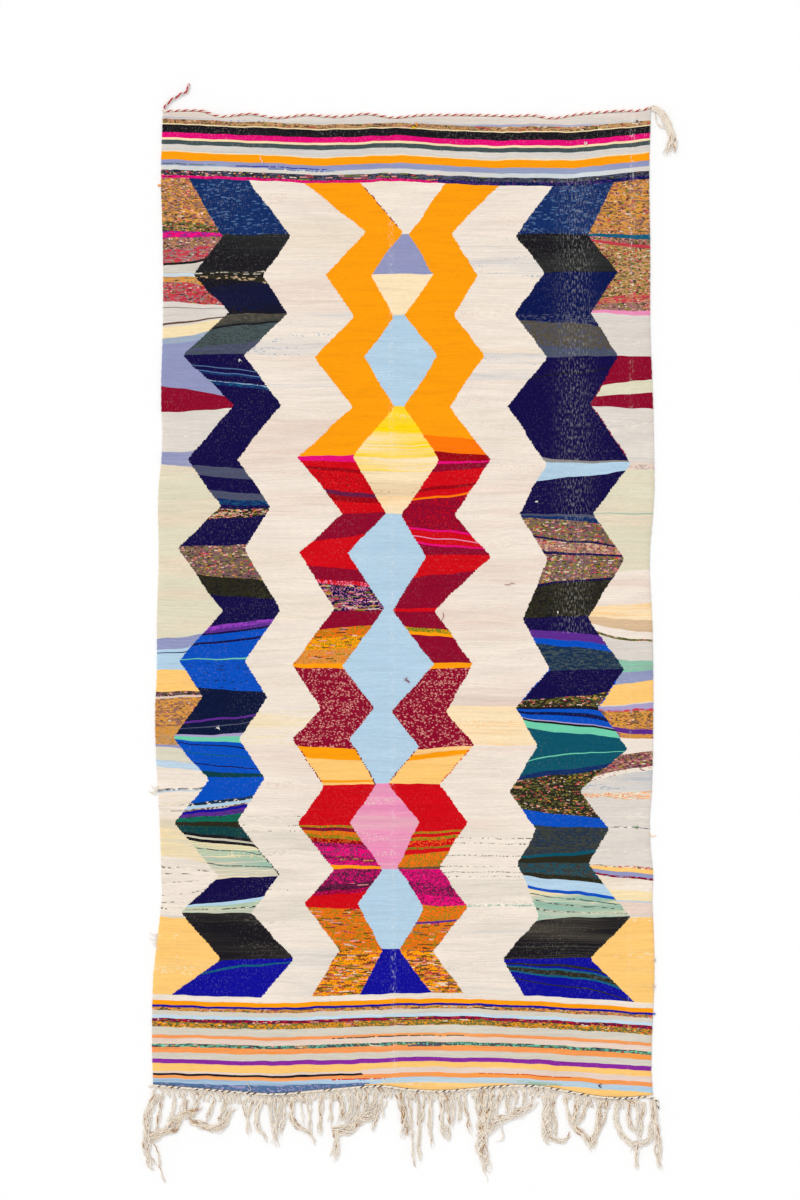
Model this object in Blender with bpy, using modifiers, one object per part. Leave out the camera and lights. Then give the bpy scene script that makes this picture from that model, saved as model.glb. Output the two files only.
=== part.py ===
"""Boucherouite rug: a weft-faced flat weave of rags and yarn, lying flat.

The pieces are the woven body, the twined cord along its heading, the twined cord along
its lower end with the warp fringe below it, and the two ends that hang off the heading's
corners. Metres, +Z up. The origin is the middle of the woven body, on its underside, and
+Y runs along the warps towards the heading.
"""

from collections import namedtuple

import bmesh
import bpy
from mathutils import Vector

# Driving sizes
HALF_LENGTH = 1.466
BODY_THICKNESS = 0.005
EDGE_CORD_DIAMETER = 0.0072
TAIL_DIAMETER = 0.008
FRINGE_THICKNESS = 0.006
KNOT_ROW_DEPTH = 0.027
CLUMP_TIP_WIDTH = 0.006
GAP = 0.0004

# How finely the shapes are cut, and the shares over which edges and folds fade out
COLUMNS = 60
ROWS = 36
END_BLEND = 0.10
FOLD_FADE = 0.22
CLUMP_STEPS = 5
TAIL_POINTS = 16
TUBE_BEVEL_RESOLUTION = 2

# Where the two selvedges run, from the heading down
Selvedge = namedtuple("Selvedge", "y left right")
SELVEDGES = [
    Selvedge(1.466, -0.729, 0.735),
    Selvedge(1.260, -0.735, 0.729),
    Selvedge(1.050, -0.729, 0.732),
    Selvedge(0.810, -0.729, 0.732),
    Selvedge(0.600, -0.735, 0.740),
    Selvedge(0.450, -0.730, 0.743),
    Selvedge(0.300, -0.744, 0.744),
    Selvedge(0.120, -0.741, 0.729),
    Selvedge(-0.060, -0.747, 0.738),
    Selvedge(-0.240, -0.747, 0.741),
    Selvedge(-0.360, -0.753, 0.741),
    Selvedge(-0.540, -0.747, 0.738),
    Selvedge(-0.690, -0.738, 0.729),
    Selvedge(-0.810, -0.735, 0.741),
    Selvedge(-0.900, -0.732, 0.738),
    Selvedge(-1.020, -0.744, 0.744),
    Selvedge(-1.140, -0.758, 0.744),
    Selvedge(-1.365, -0.762, 0.735),
    Selvedge(-1.466, -0.759, 0.741),
]

# The line of each twined end cord, from the left selvedge to the right
EndLine = namedtuple("EndLine", "x y")
HEADING_LINE = [
    EndLine(-0.729, 1.466),
    EndLine(-0.612, 1.467),
    EndLine(-0.558, 1.450),
    EndLine(-0.465, 1.458),
    EndLine(-0.390, 1.446),
    EndLine(-0.300, 1.455),
    EndLine(-0.210, 1.449),
    EndLine(-0.114, 1.458),
    EndLine(-0.039, 1.447),
    EndLine(0.045, 1.454),
    EndLine(0.126, 1.455),
    EndLine(0.234, 1.454),
    EndLine(0.327, 1.451),
    EndLine(0.378, 1.454),
    EndLine(0.435, 1.444),
    EndLine(0.510, 1.456),
    EndLine(0.642, 1.467),
    EndLine(0.699, 1.468),
    EndLine(0.735, 1.477),
]
LOWER_END_LINE = [
    EndLine(-0.759, -1.456),
    EndLine(-0.580, -1.470),
    EndLine(-0.399, -1.482),
    EndLine(-0.240, -1.470),
    EndLine(-0.075, -1.458),
    EndLine(0.010, -1.469),
    EndLine(0.117, -1.473),
    EndLine(0.285, -1.459),
    EndLine(0.384, -1.458),
    EndLine(0.465, -1.470),
    EndLine(0.561, -1.488),
    EndLine(0.645, -1.494),
    EndLine(0.741, -1.488),
]
# The lower cord runs on past both selvedges as short loose ends
LOWER_CORD_LEFT_END = [(-0.772, -1.459)]
LOWER_CORD_RIGHT_END = [(0.7500, -1.4990), (0.7555, -1.5120), (0.7560, -1.5260)]

# Low creases and cockles that lift the cloth off what it lies on
Fold = namedtuple("Fold", "x_top x_low y_top y_low half_width height")
FOLDS = [
    Fold(-0.046, -0.040, 1.36, 0.10, 0.038, 0.0022),
    Fold(-0.052, -0.036, -0.16, -1.466, 0.038, 0.0030),
    Fold(0.492, 0.500, 1.25, 0.05, 0.055, 0.0026),
    Fold(0.506, 0.480, -0.30, -1.25, 0.055, 0.0022),
    Fold(0.664, 0.676, 1.20, -0.55, 0.048, 0.0034),
    Fold(-0.560, -0.575, 1.466, 1.05, 0.070, 0.0040),
    Fold(-0.215, -0.200, 1.466, 1.20, 0.060, 0.0028),
    Fold(0.430, 0.410, 1.466, 1.27, 0.060, 0.0042),
    Fold(-0.585, -0.560, -0.20, -0.95, 0.065, 0.0028),
    Fold(-0.400, -0.385, -1.16, -1.466, 0.075, 0.0042),
    Fold(0.585, 0.610, -1.10, -1.466, 0.070, 0.0036),
]

# The fringe's clumps from left to right: where each leaves the knot row and where its tip lies
Clump = namedtuple("Clump", "root_x tip_x tip_y root_width mid_width sway")
CLUMPS = [
    Clump(-0.729, -0.753, -1.716, 0.020, 0.022, -0.033),
    Clump(-0.702, -0.717, -1.752, 0.018, 0.012, -0.031),
    Clump(-0.654, -0.702, -1.587, 0.060, 0.045, 0.003),
    Clump(-0.597, -0.603, -1.572, 0.016, 0.012, 0.003),
    Clump(-0.537, -0.573, -1.584, 0.030, 0.024, 0.012),
    Clump(-0.477, -0.480, -1.620, 0.027, 0.012, 0.003),
    Clump(-0.432, -0.417, -1.623, 0.015, 0.012, -0.018),
    Clump(-0.384, -0.387, -1.647, 0.054, 0.042, 0.000),
    Clump(-0.342, -0.282, -1.641, 0.014, 0.015, -0.018),
    Clump(-0.291, -0.291, -1.572, 0.014, 0.010, 0.000),
    Clump(-0.252, -0.264, -1.626, 0.015, 0.014, 0.000),
    Clump(-0.222, -0.231, -1.566, 0.012, 0.010, 0.000),
    Clump(-0.138, -0.219, -1.695, 0.105, 0.050, -0.016),
    Clump(-0.072, -0.105, -1.599, 0.012, 0.010, 0.006),
    Clump(-0.009, -0.006, -1.626, 0.022, 0.021, 0.004),
    Clump(0.0165, 0.030, -1.710, 0.009, 0.008, 0.000),
    Clump(0.0405, 0.048, -1.728, 0.010, 0.009, -0.003),
    Clump(0.0615, 0.0555, -1.578, 0.009, 0.007, 0.000),
    Clump(0.081, 0.084, -1.650, 0.012, 0.011, -0.004),
    Clump(0.123, 0.129, -1.623, 0.040, 0.034, 0.000),
    Clump(0.1605, 0.156, -1.578, 0.013, 0.011, 0.000),
    Clump(0.1785, 0.207, -1.629, 0.010, 0.008, -0.006),
    Clump(0.231, 0.234, -1.746, 0.033, 0.027, 0.004),
    Clump(0.288, 0.288, -1.617, 0.030, 0.024, -0.010),
    Clump(0.357, 0.318, -1.551, 0.048, 0.040, 0.004),
    Clump(0.423, 0.438, -1.641, 0.034, 0.030, 0.000),
    Clump(0.468, 0.468, -1.626, 0.034, 0.025, 0.000),
    Clump(0.531, 0.543, -1.629, 0.045, 0.030, -0.008),
    Clump(0.594, 0.564, -1.656, 0.034, 0.026, 0.003),
    Clump(0.6345, 0.666, -1.623, 0.012, 0.010, -0.010),
    Clump(0.690, 0.693, -1.710, 0.050, 0.030, 0.000),
    Clump(0.738, 0.765, -1.719, 0.020, 0.018, 0.003),
]

# The loose end of the heading cord, from the left corner out over the floor
TAIL_ROUTE = [
    (-0.7252, 1.4735),
    (-0.7200, 1.4830),
    (-0.7110, 1.4935),
    (-0.6985, 1.5030),
    (-0.6840, 1.5120),
    (-0.6700, 1.5195),
    (-0.6590, 1.5255),
    (-0.6540, 1.5350),
    (-0.6515, 1.5480),
]

# The bunch of warp ends at the right corner, and the fork that it ends in
BunchStation = namedtuple("BunchStation", "x y half_width")
BUNCH = [
    BunchStation(0.7405, 1.4770, 0.006),
    BunchStation(0.7600, 1.4665, 0.009),
    BunchStation(0.7770, 1.4400, 0.011),
    BunchStation(0.7905, 1.4100, 0.013),
    BunchStation(0.7965, 1.3780, 0.016),
]
BUNCH_FORK = [(0.7650, 1.3270), (0.7920, 1.3500), (0.8060, 1.3290)]

MATERIALS = {
    "woven_body": ((0.80, 0.62, 0.40, 1.0), 0.92),
    "heading_cord": ((0.70, 0.30, 0.26, 1.0), 0.90),
    "end_twining": ((0.12, 0.13, 0.20, 1.0), 0.90),
    "warp_fringe": ((0.73, 0.63, 0.51, 1.0), 0.95),
    "left_corner_tail": ((0.74, 0.62, 0.56, 1.0), 0.92),
    "right_corner_tassel": ((0.80, 0.69, 0.57, 1.0), 0.95),
}


def clear_scene():
    for obj in list(bpy.data.objects):
        bpy.data.objects.remove(obj, do_unlink=True)


def material_for(name):
    color, roughness = MATERIALS[name]
    material = bpy.data.materials.new(name)
    material.use_nodes = True
    shader = material.node_tree.nodes["Principled BSDF"]
    shader.inputs["Base Color"].default_value = color
    shader.inputs["Roughness"].default_value = roughness
    shader.inputs["Metallic"].default_value = 0.0
    return material


def add_object(name, data, collection):
    obj = bpy.data.objects.new(name, data)
    collection.objects.link(obj)
    obj.data.materials.append(material_for(name))
    return obj


def ease(value):
    """0 below 0, 1 above 1, and a smooth step between."""
    value = min(max(value, 0.0), 1.0)
    return value * value * (3.0 - 2.0 * value)


def follow(stations, values, at):
    """The value at a station, on a smooth curve through every row, level beyond the ends."""
    if stations[0] > stations[-1]:
        stations, values = stations[::-1], values[::-1]
    at = min(max(at, stations[0]), stations[-1])
    last = len(stations) - 1
    i = max(k for k in range(last) if stations[k] <= at)

    def slope(k):
        low, high = max(k - 1, 0), min(k + 1, last)
        return (values[high] - values[low]) / (stations[high] - stations[low])

    span = stations[i + 1] - stations[i]
    t = (at - stations[i]) / span
    rise = values[i + 1] - values[i]
    start, end = slope(i) * span, slope(i + 1) * span
    return (
        values[i]
        + start * t
        + (3 * rise - 2 * start - end) * t * t
        + (start + end - 2 * rise) * t**3
    )


def selvedge_x(side, y):
    return follow([row.y for row in SELVEDGES], [getattr(row, side) for row in SELVEDGES], y)


def end_y(line, x):
    return follow([row.x for row in line], [row.y for row in line], x)


def clear_of_cord(line, x):
    """How far from a cord's centre line the next piece starts, measured along Y."""
    step = 0.01
    slope = (end_y(line, x + step) - end_y(line, x - step)) / (2 * step)
    return (EDGE_CORD_DIAMETER / 2 + GAP) * (1 + slope * slope) ** 0.5


def column_x(share, y):
    left, right = selvedge_x("left", y), selvedge_x("right", y)
    return left + (right - left) * share


def lift(x, y):
    """How far the cloth stands off the surface under it."""
    height = 0.0
    for fold in FOLDS:
        along = (fold.y_top - y) / (fold.y_top - fold.y_low)
        middle = fold.x_top + (fold.x_low - fold.x_top) * min(max(along, 0.0), 1.0)
        across = ease(1.0 - abs(x - middle) / fold.half_width)
        runs_off_top = fold.y_top >= HALF_LENGTH
        runs_off_low = fold.y_low <= -HALF_LENGTH
        from_top = 1.0 if runs_off_top else ease(along / FOLD_FADE)
        from_low = 1.0 if runs_off_low else ease((1.0 - along) / FOLD_FADE)
        height = max(height, fold.height * across * from_top * from_low)
    return height


def body_point(share_x, share_y):
    """A point of the cloth's underside, from its place across and along the weave."""
    y = HALF_LENGTH * (2.0 * share_y - 1.0)
    x = column_x(share_x, y)
    top_edge = end_y(HEADING_LINE, x) - clear_of_cord(HEADING_LINE, x)
    low_edge = end_y(LOWER_END_LINE, x) + clear_of_cord(LOWER_END_LINE, x)
    near_top = ease(1.0 - (1.0 - share_y) / END_BLEND)
    near_low = ease(1.0 - share_y / END_BLEND)
    y += near_top * (top_edge - HALF_LENGTH) + near_low * (low_edge + HALF_LENGTH)
    return Vector((x, y, lift(x, y)))


def make_woven_body(collection):
    grid = bmesh.new()
    bmesh.ops.create_grid(grid, x_segments=COLUMNS, y_segments=ROWS, size=0.5)
    for vertex in grid.verts:
        vertex.co = body_point(vertex.co.x + 0.5, vertex.co.y + 0.5)
    mesh = bpy.data.meshes.new("woven_body")
    grid.to_mesh(mesh)
    grid.free()
    body = add_object("woven_body", mesh, collection)
    thicken = body.modifiers.new("Thickness", "SOLIDIFY")
    thicken.thickness = BODY_THICKNESS
    thicken.offset = 1.0


def make_tube(name, points, diameter, collection):
    """A plain round cord through the points, with closed ends."""
    curve = bpy.data.curves.new(name, "CURVE")
    curve.dimensions = "3D"
    curve.bevel_depth = diameter / 2
    curve.bevel_resolution = TUBE_BEVEL_RESOLUTION
    curve.use_fill_caps = True
    spline = curve.splines.new("POLY")
    spline.points.add(len(points) - 1)
    for point, place in zip(spline.points, points):
        point.co = (*place, 1.0)
    add_object(name, curve, collection)


def edge_cord_points(line, y_end):
    """Points at the woven body's own columns, lying on the floor and over its cockles."""
    points = []
    for column in range(COLUMNS + 1):
        x = column_x(column / COLUMNS, y_end)
        points.append((x, end_y(line, x), EDGE_CORD_DIAMETER / 2 + lift(x, y_end)))
    return points


def at_cord_height(places):
    return [(x, y, EDGE_CORD_DIAMETER / 2) for x, y in places]


def make_heading_cord(collection):
    points = edge_cord_points(HEADING_LINE, HALF_LENGTH)
    make_tube("heading_cord", points, EDGE_CORD_DIAMETER, collection)


def make_end_twining(collection):
    points = (
        at_cord_height(LOWER_CORD_LEFT_END)
        + edge_cord_points(LOWER_END_LINE, -HALF_LENGTH)
        + at_cord_height(LOWER_CORD_RIGHT_END)
    )
    make_tube("end_twining", points, EDGE_CORD_DIAMETER, collection)


def make_left_corner_tail(collection):
    knots = [k / (len(TAIL_ROUTE) - 1) for k in range(len(TAIL_ROUTE))]
    xs, ys = zip(*TAIL_ROUTE)
    points = []
    for k in range(TAIL_POINTS):
        at = k / (TAIL_POINTS - 1)
        points.append((follow(knots, xs, at), follow(knots, ys, at), TAIL_DIAMETER / 2 + GAP))
    make_tube("left_corner_tail", points, TAIL_DIAMETER, collection)


def make_flat_piece(name, outline, thickness, collection):
    """A flat outline in the XY plane with its underside at Z = 0."""
    curve = bpy.data.curves.new(name, "CURVE")
    curve.dimensions = "2D"
    curve.fill_mode = "BOTH"
    curve.extrude = thickness / 2
    spline = curve.splines.new("POLY")
    spline.use_cyclic_u = True
    spline.points.add(len(outline) - 1)
    for point, (x, y) in zip(spline.points, outline):
        point.co = (x, y, 0.0, 1.0)
    flat = add_object(name, curve, collection)
    flat.location.z = thickness / 2


def knot_row_y(x):
    """The lower edge of the row of knots that the clumps hang from."""
    cord_y = end_y(LOWER_END_LINE, x)
    return cord_y - clear_of_cord(LOWER_END_LINE, x) - KNOT_ROW_DEPTH


def clump_sides(clump):
    """Points down the clump's left side and down its right side, root first."""
    root_y = knot_row_y(clump.root_x)
    left, right = [], []
    for step in range(CLUMP_STEPS + 1):
        t = step / CLUMP_STEPS
        middle = clump.root_x + (clump.tip_x - clump.root_x) * t + clump.sway * 4 * t * (1 - t)
        y = root_y + (clump.tip_y - root_y) * t
        if t < 0.5:
            width = clump.root_width + (clump.mid_width - clump.root_width) * 2 * t
        else:
            width = clump.mid_width + (CLUMP_TIP_WIDTH - clump.mid_width) * (2 * t - 1)
        left.append((middle - width / 2, y))
        right.append((middle + width / 2, y))
    return left, right


def make_warp_fringe(collection):
    """One comb: the knot row under the lower cord, with a tapering tooth for each clump."""
    outline = []
    for column in range(COLUMNS + 1):
        x = column_x(column / COLUMNS, -HALF_LENGTH)
        outline.append((x, end_y(LOWER_END_LINE, x) - clear_of_cord(LOWER_END_LINE, x)))
    # The cord's loose end curls down past the right selvedge, so the comb stops short of it.
    outline[-1] = (outline[-1][0] - EDGE_CORD_DIAMETER / 2, outline[-1][1])
    for clump in reversed(CLUMPS):
        left, right = clump_sides(clump)
        outline += right + left[::-1]
    make_flat_piece("warp_fringe", outline, FRINGE_THICKNESS, collection)


def make_right_corner_tassel(collection):
    """The bunch of warp ends, a strip that widens along its route and ends in a fork."""
    left, right = [], []
    last = len(BUNCH) - 1
    for k, station in enumerate(BUNCH):
        before, after = BUNCH[max(k - 1, 0)], BUNCH[min(k + 1, last)]
        along = Vector((after.x - before.x, after.y - before.y)).normalized()
        across = Vector((-along.y, along.x)) * station.half_width
        middle = Vector((station.x, station.y))
        left.append(tuple(middle - across))
        right.append(tuple(middle + across))
    outline = left + BUNCH_FORK + right[::-1]
    make_flat_piece("right_corner_tassel", outline, FRINGE_THICKNESS, collection)


def main():
    clear_scene()
    collection = bpy.data.collections.new("boucherouite_rug")
    bpy.context.scene.collection.children.link(collection)
    make_woven_body(collection)
    make_heading_cord(collection)
    make_end_twining(collection)
    make_warp_fringe(collection)
    make_left_corner_tail(collection)
    make_right_corner_tassel(collection)


main()
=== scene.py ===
"""Looks of the boucherouite rug: weave, colours, cords, fringe and loose ends.

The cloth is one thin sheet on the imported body's outline and folds. Its zigzags and stripes
are a weaver's chart, in millimetres from the middle of the cloth, woven pick by pick in the
material. Cords, fringe and loose ends are plied yarns. Everything else is in metres.
"""

import math
import random
from collections import namedtuple

import bpy
import numpy as np
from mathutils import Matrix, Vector
from mathutils.bvhtree import BVHTree


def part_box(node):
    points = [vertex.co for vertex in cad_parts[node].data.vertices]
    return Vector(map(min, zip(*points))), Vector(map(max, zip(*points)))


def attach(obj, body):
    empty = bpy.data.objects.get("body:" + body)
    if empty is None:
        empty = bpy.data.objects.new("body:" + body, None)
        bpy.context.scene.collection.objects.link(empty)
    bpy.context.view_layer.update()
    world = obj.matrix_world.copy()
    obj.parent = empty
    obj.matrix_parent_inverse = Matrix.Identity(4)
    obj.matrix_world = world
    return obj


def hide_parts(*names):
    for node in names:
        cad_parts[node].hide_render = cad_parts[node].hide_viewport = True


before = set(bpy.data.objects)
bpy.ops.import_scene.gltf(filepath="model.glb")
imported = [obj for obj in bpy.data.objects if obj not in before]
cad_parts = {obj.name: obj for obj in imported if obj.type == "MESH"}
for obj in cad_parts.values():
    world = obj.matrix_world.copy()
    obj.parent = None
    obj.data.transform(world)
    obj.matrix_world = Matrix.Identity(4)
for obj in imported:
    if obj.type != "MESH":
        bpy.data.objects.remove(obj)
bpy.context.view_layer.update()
MM = 0.001

# ---------------------------------------------------------------- camera and lights

VIEW_HEIGHT = 3.60
CAMERA_HEIGHT = 9.0
CAMERA_X = -0.018
SENSOR = 36.0


def make_camera():
    data = bpy.data.cameras.new("camera")
    data.sensor_fit = "VERTICAL"
    data.sensor_height = SENSOR
    data.lens = SENSOR * CAMERA_HEIGHT / VIEW_HEIGHT
    camera = bpy.data.objects.new("camera", data)
    camera.location = (CAMERA_X, 0.0, CAMERA_HEIGHT)
    bpy.context.scene.collection.objects.link(camera)
    bpy.context.scene.camera = camera


def make_lights():
    world = bpy.data.worlds.new("studio")
    world.use_nodes = True
    background = world.node_tree.nodes["Background"]
    background.inputs["Color"].default_value = (1.0, 1.0, 1.0, 1.0)
    background.inputs["Strength"].default_value = 0.80
    bpy.context.scene.world = world
    bpy.context.scene.view_settings.view_transform = "Standard"
    data = bpy.data.lights.new("softbox", "SUN")
    data.energy = 1.15
    data.angle = math.radians(24)
    softbox = bpy.data.objects.new("softbox", data)
    softbox.rotation_euler = (math.radians(-38), math.radians(-34), 0.0)
    bpy.context.scene.collection.objects.link(softbox)


# ---------------------------------------------------------------- yarn colours

YARNS = {
    "cream": (241, 228, 214), "white": (246, 241, 234), "ecru": (232, 214, 190),
    "oatmeal": (221, 213, 204), "sage": (224, 218, 192), "blush": (232, 209, 194),
    "lemon_cream": (246, 224, 178), "butter": (252, 228, 188), "yellow": (255, 214, 8),
    "orange": (255, 158, 10), "deep_orange": (255, 120, 4), "peach": (252, 200, 134),
    "apricot": (255, 202, 116), "salmon": (246, 154, 92), "ochre": (214, 148, 66),
    "burnt_orange": (238, 112, 18), "tan": (190, 146, 98), "brown": (104, 74, 56),
    "mauve_brown": (120, 86, 92), "rose_brown": (164, 112, 108), "brick": (196, 60, 74),
    "crimson": (142, 4, 42), "dark_red": (156, 0, 16), "red": (208, 4, 20),
    "magenta": (230, 6, 118), "plum": (104, 22, 66), "pink": (236, 142, 184),
    "rose": (230, 156, 146), "lavender": (172, 160, 200), "purple": (92, 42, 140),
    "violet": (150, 62, 190), "periwinkle": (146, 150, 190), "blue_grey": (160, 174, 194),
    "light_blue": (180, 208, 228), "pale_blue": (196, 218, 232), "royal": (2, 78, 190),
    "strong_blue": (12, 10, 150), "denim": (84, 114, 156), "midnight": (6, 20, 76),
    "indigo": (16, 8, 68), "navy": (14, 44, 98), "dark_navy": (8, 20, 56),
    "teal": (14, 92, 122), "dark_teal": (8, 62, 70), "slate": (76, 80, 104),
    "slate_green": (68, 82, 84), "black": (24, 22, 28), "olive": (116, 112, 58),
    "moss": (126, 128, 26), "olive_grey": (84, 78, 68), "dark_olive": (42, 40, 26),
    "dark_green": (28, 70, 54), "green": (84, 148, 86), "mint": (112, 206, 170),
    "grey": (144, 138, 134), "sand": (218, 186, 150), "petrol": (8, 82, 102),
    "charcoal": (58, 62, 58), "undyed": (238, 226, 210), "ink": (24, 48, 76),
    "jade": (10, 104, 84), "stone": (214, 206, 190), "orchid": (138, 40, 156),
    "verdigris": (150, 188, 168), "warp": (247, 236, 221), "cord_red": (190, 22, 42),
}
SCRAPS = ["brick", "black", "moss", "rose", "dark_olive", "mauve_brown", "ecru", "ochre"]


def linear(name):
    def channel(value):
        value /= 255.0
        return value / 12.92 if value <= 0.04045 else ((value + 0.055) / 1.055) ** 2.4

    return tuple(channel(value) for value in YARNS[name])


# ---------------------------------------------------------------- the weaver's chart

# Each zigzag band: the height of every turn and where its two edges are there
Turn = namedtuple("Turn", "y outer inner")
LEFT_BLUE = [
    Turn(1255, -645, -470), Turn(1090, -550, -345), Turn(975, -640, -430),
    Turn(865, -530, -355), Turn(735, -670, -485), Turn(585, -515, -375),
    Turn(425, -655, -505), Turn(280, -555, -405), Turn(155, -685, -485),
    Turn(-30, -550, -375), Turn(-180, -680, -485), Turn(-290, -610, -415),
    Turn(-415, -700, -500), Turn(-535, -590, -425), Turn(-665, -695, -505),
    Turn(-825, -560, -380), Turn(-935, -675, -465), Turn(-1075, -555, -335),
    Turn(-1185, -705, -430),
]
LEFT_WARM = [
    Turn(1240, -290, -125), Turn(1105, -120, -10), Turn(975, -240, -105),
    Turn(850, -155, -35), Turn(730, -275, -125), Turn(580, -160, -35),
    Turn(430, -325, -160), Turn(260, -190, -60), Turn(145, -320, -175),
    Turn(-25, -215, -65), Turn(-195, -340, -190), Turn(-325, -255, -95),
    Turn(-415, -340, -170), Turn(-555, -245, -90), Turn(-670, -325, -170),
    Turn(-805, -215, -70), Turn(-910, -305, -145), Turn(-1050, -200, -70),
    Turn(-1175, -275, -135),
]
RIGHT_WARM = [
    Turn(1240, 275, 110), Turn(1100, 135, 10), Turn(975, 215, 80),
    Turn(855, 145, -5), Turn(735, 235, 95), Turn(580, 130, -5),
    Turn(420, 255, 100), Turn(255, 145, -15), Turn(130, 255, 60),
    Turn(-30, 85, -40), Turn(-190, 200, 85), Turn(-335, 120, -45),
    Turn(-435, 205, 40), Turn(-550, 100, -55), Turn(-665, 185, 40),
    Turn(-800, 100, -25), Turn(-920, 185, 55), Turn(-1050, 80, -20),
    Turn(-1170, 165, 70),
]
RIGHT_BLUE = [
    Turn(1250, 620, 445), Turn(1095, 545, 330), Turn(985, 635, 415),
    Turn(860, 555, 325), Turn(730, 635, 425), Turn(585, 555, 305),
    Turn(410, 675, 420), Turn(260, 560, 340), Turn(125, 655, 425),
    Turn(-55, 545, 350), Turn(-205, 655, 430), Turn(-320, 575, 330),
    Turn(-440, 665, 395), Turn(-570, 520, 310), Turn(-685, 610, 390),
    Turn(-790, 545, 335), Turn(-950, 675, 400), Turn(-1075, 550, 290),
    Turn(-1185, 665, 355),
]

# Each column's yarns from the heading down. share is how much of the pick is fleck yarn,
# and scraps how much of it is rag ends of any colour.
Stripe = namedtuple("Stripe", "y yarn fleck share scraps", defaults=(None, 0.0, 0.0))
LEFT_FIELD = [
    Stripe(1290, "ochre", "mauve_brown", 0.60, 0.30), Stripe(1134, "olive", "black", 0.45, 0.45),
    Stripe(1104, "magenta", "purple", 0.50), Stripe(1086, "rose_brown", "olive", 0.30, 0.45),
    Stripe(1050, "brick", "grey", 0.50, 0.16),
    Stripe(1008, "black", "brown", 0.30), Stripe(1002, "oatmeal", "olive", 0.40),
    Stripe(981, "pale_blue", "oatmeal", 0.40), Stripe(970, "ochre", "tan", 0.50, 0.06),
    Stripe(954, "brick", "grey", 0.40, 0.20), Stripe(894, "oatmeal", "cream", 0.20),
    Stripe(879, "grey"), Stripe(875, "oatmeal"), Stripe(831, "brown"),
    Stripe(825, "oatmeal"), Stripe(819, "lemon_cream", "cream", 0.20),
    Stripe(786, "blue_grey"), Stripe(768, "periwinkle", "blue_grey", 0.12),
    Stripe(636, "crimson"), Stripe(564, "oatmeal", "cream", 0.15),
    Stripe(444, "periwinkle", "oatmeal", 0.15), Stripe(405, "sage", "ecru", 0.80),
    Stripe(-114, "periwinkle", "pale_blue", 0.15), Stripe(-144, "light_blue"),
    Stripe(-156, "navy"), Stripe(-160, "light_blue", "pale_blue", 0.20),
    Stripe(-210, "apricot", "peach", 0.20), Stripe(-273, "mauve_brown", "black", 0.40, 0.30),
    Stripe(-289, "blush", "mauve_brown", 0.40), Stripe(-294, "ochre", "mauve_brown", 0.50, 0.06),
    Stripe(-380, "ochre", "tan", 0.40), Stripe(-411, "tan", "ochre", 0.50),
    Stripe(-438, "periwinkle", "lavender", 0.30), Stripe(-447, "stone", "sage", 0.50),
    Stripe(-481, "pale_blue", "periwinkle", 0.50), Stripe(-502, "cream", "ecru", 0.90),
    Stripe(-561, "undyed", "ink", 0.75), Stripe(-567, "light_blue"),
    Stripe(-572, "cream", "ecru", 0.90),
    Stripe(-611, "undyed", "grey", 0.35), Stripe(-615, "cream", "ecru", 0.80),
    Stripe(-627, "undyed", "grey", 0.30), Stripe(-631, "cream", "ecru", 0.90),
    Stripe(-660, "lemon_cream", "stone", 0.80), Stripe(-768, "cream", "stone", 0.40),
    Stripe(-800, "undyed", "black", 0.32), Stripe(-804, "cream"),
    Stripe(-819, "undyed", "charcoal", 0.30),
    Stripe(-823, "cream"), Stripe(-846, "undyed", "charcoal", 0.34), Stripe(-850, "cream"),
    Stripe(-882, "undyed", "charcoal", 0.25), Stripe(-886, "cream"),
    Stripe(-905, "undyed", "black", 0.30), Stripe(-909, "cream"),
    Stripe(-922, "undyed", "charcoal", 0.24),
    Stripe(-926, "cream"),
    Stripe(-945, "oatmeal"), Stripe(-951, "apricot", "lemon_cream", 0.12),
]
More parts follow.
